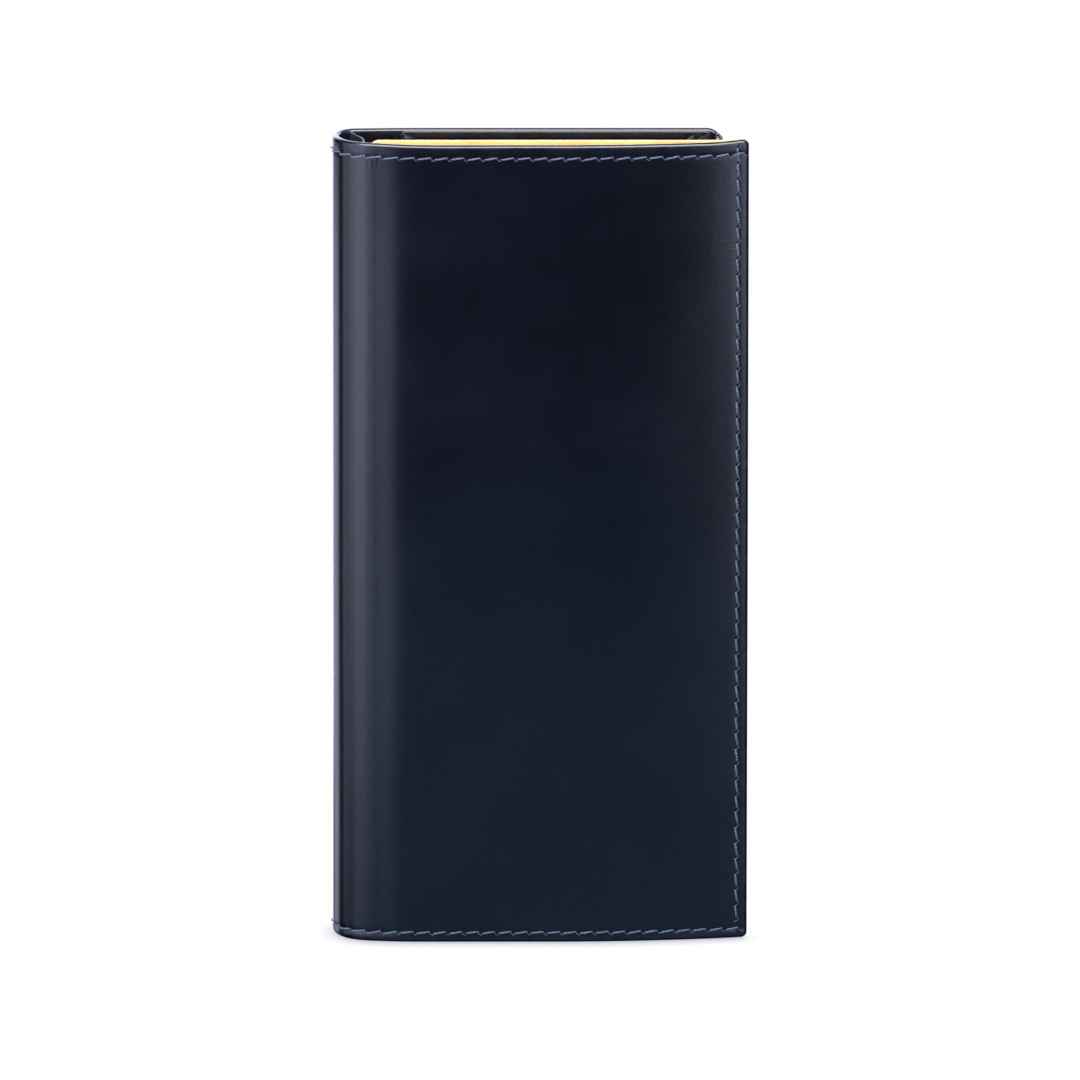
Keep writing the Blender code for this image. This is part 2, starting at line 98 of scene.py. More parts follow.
class Graph:
    """Adds nodes to a shader or geometry tree and links them."""

    def __init__(self, tree: Tree) -> None:
        """Starts with the tree as it is."""
        self.tree = tree

    def add(self, kind: str, inputs: dict[str | int, Any] | None = None, **settings: Any) -> Any:
        """Adds one node.

        Args:
            kind: The node's type name.
            inputs: A value or an output socket for each input, by name or index.
            settings: Properties of the node itself.

        Returns:
            The new node.
        """
        node = self.tree.nodes.new(kind)
        for name, value in settings.items():
            setattr(node, name, value)
        for key, value in (inputs or {}).items():
            if isinstance(value, Socket):
                self.tree.links.new(value, node.inputs[key])
            else:
                node.inputs[key].default_value = value
        return node

    def math(self, operation: str, first: Any, second: Any = 0.0) -> Socket:
        """One arithmetic step on numbers or sockets."""
        return self.add("ShaderNodeMath", {0: first, 1: second}, operation=operation).outputs[0]

    def times(self, first: Any, second: Any) -> Socket:
        """The product of two numbers or sockets."""
        return self.math("MULTIPLY", first, second)

    def vector(self, x: Any = 0.0, y: Any = 0.0, z: Any = 0.0) -> Socket:
        """A vector from three numbers or sockets."""
        return self.add("ShaderNodeCombineXYZ", {0: x, 1: y, 2: z}).outputs[0]

    def noise(self, place: Socket, scale: Any, detail: float = 2.0, roughness: float = 0.5) -> Socket:
        """Noise of one value."""
        inputs = {"Vector": place, "Scale": scale, "Detail": detail, "Roughness": roughness}
        return self.add("ShaderNodeTexNoise", inputs).outputs["Fac"]

    def spread(
        self, value: Socket, low: float, high: float, ends: tuple[float, float] = (0.0, 1.0)
    ) -> Socket:
        """A value's range from low to high, spread between two ends."""
        inputs = {"Value": value, "From Min": low, "From Max": high, "To Min": ends[0], "To Max": ends[1]}
        return self.add("ShaderNodeMapRange", inputs).outputs["Result"]

    def mix(self, share: Socket, first: Any, second: Any) -> Socket:
        """A colour between two others, each of them plain or a socket."""
        ends = [end if isinstance(end, Socket) else (*end, 1.0) for end in (first, second)]
        return self.add("ShaderNodeMix", {0: share, 6: ends[0], 7: ends[1]}, data_type="RGBA").outputs[2]

    def smooth(self, geometry: Socket) -> Socket:
        """Geometry shaded smooth."""
        return self.add("GeometryNodeSetShadeSmooth", {"Geometry": geometry}).outputs[0]

    def sweep(self, path: Socket, profile: Socket, **more: Any) -> Socket:
        """A mesh swept along a path."""
        inputs = {"Curve": path, "Profile Curve": profile, **more}
        return self.add("GeometryNodeCurveToMesh", inputs).outputs[0]

    def coloured(self, geometry: Socket, material: Socket) -> Socket:
        """Realised geometry in its material."""
        real = self.add("GeometryNodeRealizeInstances", {"Geometry": geometry}).outputs[0]
        return self.add("GeometryNodeSetMaterial", {"Geometry": real, "Material": material}).outputs[0]


class Group(Graph):
    """A node group with named inputs and outputs."""

    def __init__(self, name: str, kind: str, inputs: dict[str, Any], outputs: Sequence[str]) -> None:
        """Starts an empty group with its interface.

        Args:
            name: The group's name.
            kind: "Shader" or "Geometry".
            inputs: Each input's default number, or its socket's kind where it has none.
            outputs: The outputs' names, values in a shader group and geometry otherwise.
        """
        super().__init__(bpy.data.node_groups.new(name, f"{kind}NodeTree"))
        kinds = {float: "Float", int: "Int"}
        for label, given in inputs.items():
            socket = kinds.get(type(given), given)
            made = self.tree.interface.new_socket(
                label, in_out="INPUT", socket_type=f"NodeSocket{socket}"
            )
            if type(given) in kinds:
                made.default_value = given
        result = "NodeSocketFloat" if kind == "Shader" else "NodeSocketGeometry"
        for label in outputs:
            self.tree.interface.new_socket(label, in_out="OUTPUT", socket_type=result)
        self.take = self.add("NodeGroupInput").outputs
        self.out = self.add("NodeGroupOutput")

    def give(self, *sockets: Socket) -> Tree:
        """Links the outputs in their order.

        Args:
            sockets: What each output gives.

        Returns:
            The finished tree.
        """
        for socket, target in zip(sockets, self.out.inputs):
            self.tree.links.new(socket, target)
        return self.tree


def grow(tree: Tree, seedling: Object, values: dict[str, Any]) -> None:
    """Runs a geometry tree on an object and keeps the result as its plain mesh.

    Args:
        tree: The geometry tree.
        seedling: The object whose mesh the tree starts from.
        values: The tree's inputs by name.
    """
    modifier = seedling.modifiers.new("grow", "NODES")
    modifier.node_group = tree
    for item in tree.interface.items_tree:
        if item.in_out == "INPUT" and item.name in values:
            modifier[item.identifier] = values[item.name]
    settle(seedling)


def settle(piece: Object) -> None:
    """Turns an object's live modifiers into its plain mesh.

    Args:
        piece: The object.
    """
    graph = bpy.context.evaluated_depsgraph_get()
    mesh = bpy.data.meshes.new_from_object(
        piece.evaluated_get(graph), preserve_all_data_layers=True, depsgraph=graph
    )
    piece.modifiers.clear()
    mesh.name = piece.name
    piece.data = mesh


# Finishes.


class Slot(Enum):
    """The record's material slots."""

    NAVY_LEATHER = "navy_leather"
    NAVY_LINING = "navy_lining"
    TAN_LEATHER = "tan_leather"
    ZIP_METAL = "zip_metal"
    THREAD = "thread"


def grain_group() -> Tree:
    """Leather's surface: pebbled cells with fine pores, and slow blotches of tone.

    Returns:
        The group.
    """
    inputs = {"Place": "Vector", "Cells": 1800.0, "Blotches": 45.0, "Pores": 0.4}
    group = Group("leather_grain", "Shader", inputs, ("Height", "Tone"))
    place = group.take["Place"]
    bent = group.add("ShaderNodeTexNoise", {"Vector": place, "Scale": 420.0, "Detail": 1.0})
    shift = group.add(
        "ShaderNodeVectorMath", {0: bent.outputs["Color"], "Scale": 0.0009}, operation="SCALE"
    )
    moved = group.add("ShaderNodeVectorMath", {0: place, 1: shift.outputs[0]}, operation="ADD")
    cell = group.add(
        "ShaderNodeTexVoronoi",
        {"Vector": moved.outputs[0], "Scale": group.take["Cells"]},
        feature="SMOOTH_F1",
    )
    fine = group.times(group.noise(place, 6500.0, 2.0, 0.6), group.take["Pores"])
    height = group.math("SUBTRACT", fine, cell.outputs["Distance"])
    return group.give(height, group.noise(place, group.take["Blotches"], 4.0, 0.62))


def wear_group() -> Tree:
    """Rubbed patches along a piece's rim.

    Returns:
        The group.
    """
    group = Group("edge_wear", "Shader", {"Place": "Vector", "Rim": 0.0, "Amount": 0.3}, ("Mask",))
    uneven = group.spread(group.noise(group.take["Place"], 260.0, 5.0, 0.7), 0.38, 0.68)
    worn = group.times(group.math("POWER", group.take["Rim"], 2.2), uneven)
    return group.give(group.times(worn, group.take["Amount"]))


def weave_group() -> Tree:
    """Crossed yarns, one over and one under.

    Returns:
        The group.
    """
    group = Group("weave", "Shader", {"Place": "Vector", "Yarns": 2600.0}, ("Height", "Tone"))
    place = group.take["Place"]
    part = group.add("ShaderNodeSeparateXYZ", {0: place}).outputs
    turns = group.times(group.take["Yarns"], math.pi)
    warp = group.math("SINE", group.times(group.math("ADD", part[0], part[1]), turns))
    weft = group.math("SINE", group.times(part[2], turns))
    height = group.math("ABSOLUTE", group.math("ADD", warp, weft))
    return group.give(height, group.noise(place, 900.0, 3.0))


@dataclass(frozen=True)
class Shading:
    """The node groups that the finishes share."""

    grain: Tree = field(default_factory=grain_group)
    wear: Tree = field(default_factory=wear_group)
    weave: Tree = field(default_factory=weave_group)


class Paint(Graph):
    """A material in the making, on the object's own coordinates."""

    def __init__(self, name: str, constants: dict[str, float]) -> None:
        """Starts a material with its shader's constants set.

        Args:
            name: The material's name.
            constants: The shader's own values by input name.
        """
        self.material = bpy.data.materials.new(name)
        self.material.use_nodes = True
        super().__init__(self.material.node_tree)
        self.shader = self.tree.nodes["Principled BSDF"]
        for key, value in constants.items():
            self.shader.inputs[key].default_value = value
        self.place = self.add("ShaderNodeTexCoord").outputs["Object"]

    def attribute(self, name: str) -> Socket:
        """A value stored on the mesh."""
        return self.add("ShaderNodeAttribute", attribute_name=name).outputs["Fac"]

    def shared(self, tree: Tree, **values: Any) -> Any:
        """The outputs of a shared group with its own values."""
        return self.add("ShaderNodeGroup", {"Place": self.place, **values}, node_tree=tree).outputs

    def made(
        self, colour: Socket, height: Socket, depth: float, roughness: Socket | None = None
    ) -> Material:
        """Feeds the shader.

        Args:
            colour: The surface's colour.
            height: The surface's relief.
            depth: How deep the relief is.
            roughness: The surface's roughness, where it varies.

        Returns:
            The material.
        """
        bump = self.add("ShaderNodeBump", {"Height": height, "Distance": depth})
        fed = {"Base Color": colour, "Roughness": roughness, "Normal": bump.outputs["Normal"]}
        for name, socket in fed.items():
            if socket is not None:
                self.tree.links.new(socket, self.shader.inputs[name])
        return self.material


@dataclass(frozen=True)
class LeatherFinish:
    """A tanned and finished leather."""

    name: str
    dark: Colour
    light: Colour
    worn: Colour
    roughness: tuple[float, float]
    coat: float = 0.0
    coat_roughness: float = 0.12
    specular: float = 0.5
    sheen: float = 0.0
    cells: float = 1800.0
    blotches: float = 45.0
    pores: float = 0.4
    depth: float = 0.00002
    wear: float = 0.3

    def make(self, shading: Shading) -> Material:
        """Builds the material.

        Args:
            shading: The shared node groups.

        Returns:
            The material.
        """
        constants = {
            "Coat Weight": self.coat,
            "Coat Roughness": self.coat_roughness,
            "Specular IOR Level": self.specular,
            "Sheen Weight": self.sheen,
            "Sheen Roughness": 0.45,
        }
        paint = Paint(self.name, constants)
        grain = paint.shared(shading.grain, Cells=self.cells, Blotches=self.blotches, Pores=self.pores)
        wear = paint.shared(shading.wear, Rim=paint.attribute("rim"), Amount=self.wear)["Mask"]
        body = paint.mix(paint.spread(grain["Tone"], 0.3, 0.7), self.dark, self.light)
        dull = paint.spread(grain["Tone"], 0.25, 0.75, self.roughness)
        dulled = paint.math("ADD", dull, paint.times(wear, 0.25))
        return paint.made(paint.mix(wear, body, self.worn), grain["Height"], self.depth, dulled)


@dataclass(frozen=True)
class WovenFinish:
    """A woven tape."""

    name: str
    dark: Colour
    light: Colour
    yarns: float
    depth: float = 0.00005
    sheen: float = 0.25

    def make(self, shading: Shading) -> Material:
        """Builds the material.

        Args:
            shading: The shared node groups.

        Returns:
            The material.
        """
        constants = {"Roughness": 0.85, "Sheen Weight": self.sheen, "Specular IOR Level": 0.3}
        paint = Paint(self.name, constants)
        weave = paint.shared(shading.weave, Yarns=self.yarns)
        # Painted shade: the tape is darker where the yarns dip under each other, following the weave's
        # relief, and varies at random.
        yarn_shade_and_tone = paint.times(paint.spread(weave["Height"], 0.0, 1.6), weave["Tone"])
        return paint.made(paint.mix(yarn_shade_and_tone, self.dark, self.light), weave["Height"], self.depth)


@dataclass(frozen=True)
class ThreadFinish:
    """Waxed, twisted sewing thread."""

    name: str
    dark: Colour
    light: Colour
    plies: float = 5.0
    depth: float = 0.00009

    def make(self) -> Material:
        """Builds the material, which reads how far along and round the strand a point lies: the plies'
        crowns are lighter and the grooves between them darker, painted shade, with random tone.

        Returns:
            The material.
        """
        constants = {"Roughness": 0.5, "Sheen Weight": 0.3, "Specular IOR Level": 0.45}
        paint = Paint(self.name, constants)
        along = paint.times(paint.attribute("strand"), self.plies)
        winding = paint.math("ADD", along, paint.times(paint.attribute("turn"), 2.0))
        lift = paint.spread(paint.math("SINE", paint.times(winding, 2 * math.pi)), -1.0, 1.0)
        # Painted shade: the colour darkens in the grooves between plies, following the relief, and varies at
        # random.
        tone = paint.times(paint.times(lift, paint.noise(paint.place, 1500.0, 3.0)), 1.8)
        return paint.made(paint.mix(tone, self.dark, self.light), lift, self.depth)


@dataclass(frozen=True)
class MetalFinish:
    """Plated zip metal with fine scratches."""

    name: str
    colour: Colour
    tarnish: Colour
    roughness: tuple[float, float] = (0.18, 0.4)
    scratch_depth: float = 0.00001

    def make(self) -> Material:
        """Builds the material: tone and gloss vary with wear, and scratches run along the zip.

        Returns:
            The material.
        """
        paint = Paint(self.name, {"Metallic": 1.0})
        stretched = paint.add(
            "ShaderNodeMapping", {"Vector": paint.place, "Scale": (9000.0, 9000.0, 500.0)}
        )
        scratch = paint.noise(stretched.outputs[0], 1.0)
        patch = paint.noise(paint.place, 320.0, 4.0)
        dull = paint.spread(patch, 0.3, 0.7, self.roughness)
        body = paint.mix(patch, self.colour, self.tarnish)
        return paint.made(body, scratch, self.scratch_depth, dull)


class Finishes:
    """Every finish of the wallet, made once."""

    def __init__(self) -> None:
        """Builds the shared groups and the materials."""
        shading = Shading()
        self.navy = LeatherFinish(
            "navy_glazed_leather",
            dark=(0.0007, 0.0014, 0.0036),
            light=(0.0012, 0.0022, 0.0052),
            worn=(0.030, 0.036, 0.062),
            roughness=(0.20, 0.255),
            coat=0.10,
            coat_roughness=0.16,
            cells=2300.0,
            depth=0.000012,
        ).make(shading)
        self.navy_inner = LeatherFinish(
            "navy_inner_leather",
            dark=(0.006, 0.0075, 0.0125),
            light=(0.011, 0.013, 0.020),
            worn=(0.030, 0.032, 0.048),
            roughness=(0.42, 0.55),
            cells=1500.0,
            depth=0.00004,
            pores=0.7,
        ).make(shading)
        self.tan = LeatherFinish(
            "tan_natural_leather",
            dark=(0.70, 0.390, 0.134),
            light=(0.80, 0.475, 0.180),
            worn=(0.42, 0.19, 0.06),
            roughness=(0.46, 0.60),
            coat=0.08,
            coat_roughness=0.3,
            sheen=0.08,
            cells=2000.0,
            blotches=70.0,
            depth=0.00003,
            wear=0.55,
        ).make(shading)
        self.tape = WovenFinish(
            "zip_tape_weave", dark=(0.006, 0.008, 0.015), light=(0.030, 0.036, 0.060), yarns=1500.0
        ).make(shading)
        self.thread = ThreadFinish(
            "blue_waxed_thread", dark=(0.014, 0.026, 0.060), light=(0.078, 0.122, 0.220)
        ).make()
        self.sand_thread = ThreadFinish(
            "sand_thread", dark=(0.42, 0.24, 0.09), light=(0.85, 0.60, 0.30)
        ).make()
        # The needle holes: a near-black, matt colour, painted shade standing in for the hollow of each hole.
        self.painted_shade_pit = LeatherFinish(
            "needle_hole",
            dark=(0.0012, 0.0014, 0.002),
            light=(0.002, 0.0024, 0.0035),
            worn=(0.002, 0.0024, 0.0035),
            roughness=(0.8, 0.9),
            specular=0.1,
        ).make(shading)
        # The lips beside the covers' needle holes: a light grey-lavender colour, a painted highlight on the
        # raised leather round each hole.
        self.pressed = LeatherFinish(
            "pressed_hole_rim",
            dark=(0.060, 0.064, 0.088),
            light=(0.130, 0.135, 0.175),
            worn=(0.130, 0.135, 0.175),
            roughness=(0.40, 0.55),
            blotches=600.0,
        ).make(shading)
        self.metal = MetalFinish(
            "zip_light_gold", colour=(0.78, 0.66, 0.42), tarnish=(0.52, 0.42, 0.26)
        ).make()


# Sheets of leather.


ROLL_STEPS = 5
RIM_WIDTH = 0.0035


def ruled(low: float, high: float, roll: float, fine: float, reach: float, coarse: float) -> Array:
    """Grid lines of a sheet: its rolled edges, a fine band beside each, and a coarse middle.

    Args:
        low: The sheet's first edge.
        high: Its last edge.
        roll: How far in the edges are rounded.
        fine: Spacing beside the edges.
        reach: Width of the fine band.
        coarse: Spacing in the middle.

    Returns:
        The lines' places, rising.
    """
    turns = np.radians(np.linspace(90, 0, ROLL_STEPS + 1))
    side = np.concatenate([roll * (1 - np.sin(turns)), np.arange(roll + fine, reach, fine)])
    inner_low, inner_high = low + side[-1], high - side[-1]
    count = max(2, round((inner_high - inner_low) / coarse))
    middle = np.linspace(inner_low, inner_high, count + 1)[1:-1]
    return np.concatenate([low + side, middle, high - side[::-1]])


def with_lines(lines: Array, extra: Sequence[float], clear: float) -> Array:
    """Adds exact lines, and drops the old ones too close to them.

    Args:
        lines: Grid lines, rising.
        extra: Lines that must be there.
        clear: How near an old line may come.

    Returns:
        All lines, rising.
    """
    wanted = np.array(sorted(extra), float)
    gap = np.abs(lines[:, None] - wanted[None, :]).min(axis=1)
    ends = (lines == lines[0]) | (lines == lines[-1])
    return np.sort(np.concatenate([lines[(gap > clear) | ends], wanted]))


def smooth(share: Array) -> Array:
    """An eased step from 0 to 1."""
    return share * share * (3 - 2 * share)


def no_relief(u: Array, v: Array, rim: Array) -> Array:
    """A smooth face."""
    return np.zeros_like(u)


@dataclass
class Sheet:
    """A piece of leather or cloth with thickness, rounded corners and rolled edges.

    It is ruled in u and v and placed by a function of (u, v, depth), where depth runs from its
    face at 0 to its back. Cuts part it into pieces whose shading runs on without a break.
    """

    u_lines: Array
    v_lines: Array
    thickness: float
    place: Surface
    corner: float
    roll: float
    relief: Surface = no_relief
    lined_from: float = 1.0

    def _rounded(self, u: Array, v: Array) -> tuple[Array, Array, Array]:
        """Draws the grid in to its rounded corners.

        Args:
            u: Grid places across.
            v: Grid places along.

        Returns:
            The moved places, and each one's distance from the edge.
        """
        lines = (self.u_lines, self.v_lines)
        centres = [(line[0] + line[-1]) / 2 for line in lines]
        halves = [(line[-1] - line[0]) / 2 - self.corner for line in lines]
        offsets = [u - centres[0], v - centres[1]]
        over = [np.abs(o) - h for o, h in zip(offsets, halves)]
        square = (over[0] > 0) & (over[1] > 0)
        a = np.where(square, over[0] / self.corner, 0)
        b = np.where(square, over[1] / self.corner, 0)
        drawn = [
            np.where(square, self.corner * a * np.sqrt(1 - b * b / 2), over[0]),
            np.where(square, self.corner * b * np.sqrt(1 - a * a / 2), over[1]),
        ]
        moved = [
            c + np.sign(o) * (h + d) for c, o, h, d in zip(centres, offsets, halves, drawn)
        ]
        outside = np.hypot(np.maximum(drawn[0], 0), np.maximum(drawn[1], 0))
        inside = np.minimum(np.maximum(drawn[0], drawn[1]), 0)
        rim = np.clip(self.corner - outside - inside, 0, None)
        return moved[0], moved[1], rim

    def _faces(self, u: Array, v: Array) -> tuple[Array, Array, Array]:
        """Places the face and the back over the grid.

        Args:
            u: Grid places across.
            v: Grid places along.

        Returns:
            Points of the face, points of the back, and distances from the edge.
        """
        u, v, rim = self._rounded(u, v)
        turn = np.clip(1 - rim / self.roll, 0, 1)
        flat = np.sqrt(1 - turn * turn)
        half = self.thickness / 2
        face = half * (1 - flat) - self.relief(u, v, rim) * flat
        back = self.thickness - half * (1 - flat)
        return self.place(u, v, face), self.place(u, v, back), rim

    def on_face(self, u: Array, v: Array) -> tuple[Array, Array]:
        """Points on the finished face and the directions straight out of it.

        Args:
            u: Places across.
            v: Places along.

        Returns:
            Points and unit normals.
        """
        step = 0.00002
        out = self.place(u, v, np.full_like(u, -step)) - self.place(u, v, np.zeros_like(u))
        return self._faces(u, v)[0], out / np.linalg.norm(out, axis=1)[:, None]

    def build(self, names: Sequence[str], cuts: Sequence[float] = ()) -> list[Object]:
        """Makes the sheet's pieces, first to last along u.

        Args:
            names: A name for each piece.
            cuts: The u lines that part them.

        Returns:
            The pieces' objects.
        """
        grid = np.meshgrid(self.u_lines, self.v_lines, indexing="ij")
        face, back, rim = self._faces(*grid)
        rows, columns = grid[0].shape
        front_index = np.arange(rows * columns).reshape(rows, columns)
        back_index = front_index.copy()
        inner = (slice(1, -1), slice(1, -1))
        count = (rows - 2) * (columns - 2)
        back_index[inner] = rows * columns + np.arange(count).reshape(rows - 2, columns - 2)
        points = np.concatenate([face.reshape(-1, 3), back[inner].reshape(-1, 3)])
        rims = np.concatenate([rim.ravel(), rim[inner].ravel()])
        quads, owner, lined = [], [], []
        for index, flip in ((front_index, False), (back_index, True)):
            corners = [index[:-1, :-1], index[1:, :-1], index[1:, 1:], index[:-1, 1:]]
            if flip:
                corners.reverse()
            quads.append(np.stack([c.ravel() for c in corners], axis=1))
            owner.append(np.repeat(np.arange(rows - 1), columns - 1))
            lined.append((rim[:-1, :-1].ravel() > self.lined_from) & flip)
        quads, owner = np.concatenate(quads), np.concatenate(owner)
        lined = np.concatenate(lined)
        if signed_volume(points, quads) < 0:
            quads = quads[:, ::-1]
        skin = Skin(points, vertex_normals(points, quads), rims)
        edges = [0, *(int(np.abs(self.u_lines - cut).argmin()) for cut in cuts), rows - 1]
        pieces = []
        for name, first, last in zip(names, edges, edges[1:]):
            chosen = (owner >= first) & (owner < last)
            caps = [
                (cap_faces(front_index[line], back_index[line]), self._heading(line, side))
                for line, side in ((first, -1), (last, 1))
                if 0 < line < rows - 1
            ]
            pieces.append(piece_of(name, skin, quads[chosen], lined[chosen], caps))
        return pieces

    def _heading(self, line: int, side: int) -> Array:
        """The direction straight out of a cut, at mid height.

        Args:
            line: The u line's number.
            side: -1 at a piece's first cut, 1 at its last.

        Returns:
            The direction.
        """
        middle = np.array([self.v_lines.mean()])
        half = np.array([self.thickness / 2])
        u = self.u_lines[line]
        step = 0.0001
        here, beside = (self.place(np.array([at]), middle, half)[0] for at in (u, u + side * step))
        return (beside - here) / np.linalg.norm(beside - here)


@dataclass
class Skin:
    """The whole surface of a sheet, before it is parted: points, normals and distances from the edge."""

    points: Array
    normals: Array
    rims: Array


def signed_volume(points: Array, quads: Array) -> float:
    """Six times the volume inside a closed mesh of quads, negative if it is inside out."""
    a, b, c, d = (points[quads[:, i]] for i in range(4))
    return float((a * (np.cross(b, c) + np.cross(c, d))).sum())


def vertex_normals(points: Array, quads: Array) -> Array:
    """Smooth normals of a mesh.

    Args:
        points: Its points.
        quads: Its faces.

    Returns:
        A unit normal at each point.
    """
    a, b, c, d = (points[quads[:, i]] for i in range(4))
    area = np.cross(c - a, d - b)
    total = np.zeros_like(points)
    for i in range(4):
        np.add.at(total, quads[:, i], area)
    return total / np.maximum(np.linalg.norm(total, axis=1), 1e-30)[:, None]


def cap_faces(face_line: Array, back_line: Array) -> list[list[int]]:
    """The faces that close a cut, from its face line to its back line.

    Args:
        face_line: Vertex numbers along the face.
        back_line: Vertex numbers along the back.

    Returns:
        The faces.
    """
    faces = []
    for i in range(len(face_line) - 1):
        corners = [face_line[i], face_line[i + 1], back_line[i + 1], back_line[i]]
        kept = list(dict.fromkeys(int(c) for c in corners))
        if len(kept) > 2:
            faces.append(kept)
    return faces


def piece_of(name: str, skin: Skin, quads: Array, lined: Array, caps: list[tuple[list, Array]]) -> Object:
    """One piece of a sheet as an object.

    Args:
        name: The piece's name.
        skin: The whole sheet's surface.
        quads: The piece's own faces.
        lined: Which of them are the lined back.
        caps: The faces over each of its cuts, and the direction out of the cut.

    Returns:
        The object.
    """
    points = skin.points
    faces = [list(map(int, quad)) for quad in quads]
    shading = [skin.normals[quad] for quad in quads]
    for strip, heading in caps:
        for corners in strip:
            a, b, c = (points[corners[i]] for i in range(3))
            if np.cross(b - a, c - a) @ heading < 0:
                corners = corners[::-1]
            faces.append(corners)
            shading.append(np.repeat(heading[None], len(corners), axis=0))
    used = np.unique(np.concatenate([np.array(f) for f in faces]))
    renumber = np.full(len(points), -1)
    renumber[used] = np.arange(len(used))
    mesh = bpy.data.meshes.new(name)
    mesh.from_pydata(points[used].tolist(), [], [renumber[f].tolist() for f in faces])
    mesh.polygons.foreach_set("use_smooth", [True] * len(faces))
    rim = mesh.attributes.new("rim", "FLOAT", "POINT")
    rim.data.foreach_set("value", np.clip(1 - skin.rims[used] / RIM_WIDTH, 0, 1).astype(np.float32))
    backs = np.zeros(len(faces), np.int32)
    backs[: len(lined)] = lined
    mesh.polygons.foreach_set("material_index", backs)
    if caps:
        mesh.normals_split_custom_set(np.concatenate(shading).tolist())
    mesh.update()
    return new_object(name, mesh)


def new_object(name: str, mesh: bpy.types.Mesh) -> Object:
    """Puts a mesh in the scene under a name.

    Args:
        name: The object's name.
        mesh: Its mesh.

    Returns:
        The object.
    """
    made = bpy.data.objects.new(name, mesh)
    bpy.context.scene.collection.objects.link(made)
    return made


def finish(piece: Object, slot: Slot, *materials: Material) -> Object:
    """Gives a piece its materials.

    Args:
        piece: The object.
        slot: Not used.
        materials: Its materials in order.

    Returns:
        The same object.
    """
    piece.data.materials.clear()
    for material in materials:
        piece.data.materials.append(material)
    log.info("%s: %d faces", piece.name, len(piece.data.polygons))
    return piece


def fitted(sheet: Sheet, name: str, node: str, slot: Slot, material: Material) -> Object:
    """Builds a sheet in one piece in the place of a CAD node.

    Args:
        sheet: The sheet.
        name: The piece's name.
        node: The node.
        slot: The record's slot, handed on to finish.
        material: Its material.

    Returns:
        The piece.
    """
    (piece,) = sheet.build([name])
    finish(piece, slot, material)
    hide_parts(node)
    return piece


# Stitches.


STITCH_ENDS = (0.075, 0.945)
THREAD_SINK = 1.1
SLIT_DEPTH = 0.00005
SLIT_SHAPE = 0.48
LIP_ARC = {"Radius": 1.1, "Start Angle": 0.3, "Sweep Angle": 3.2}


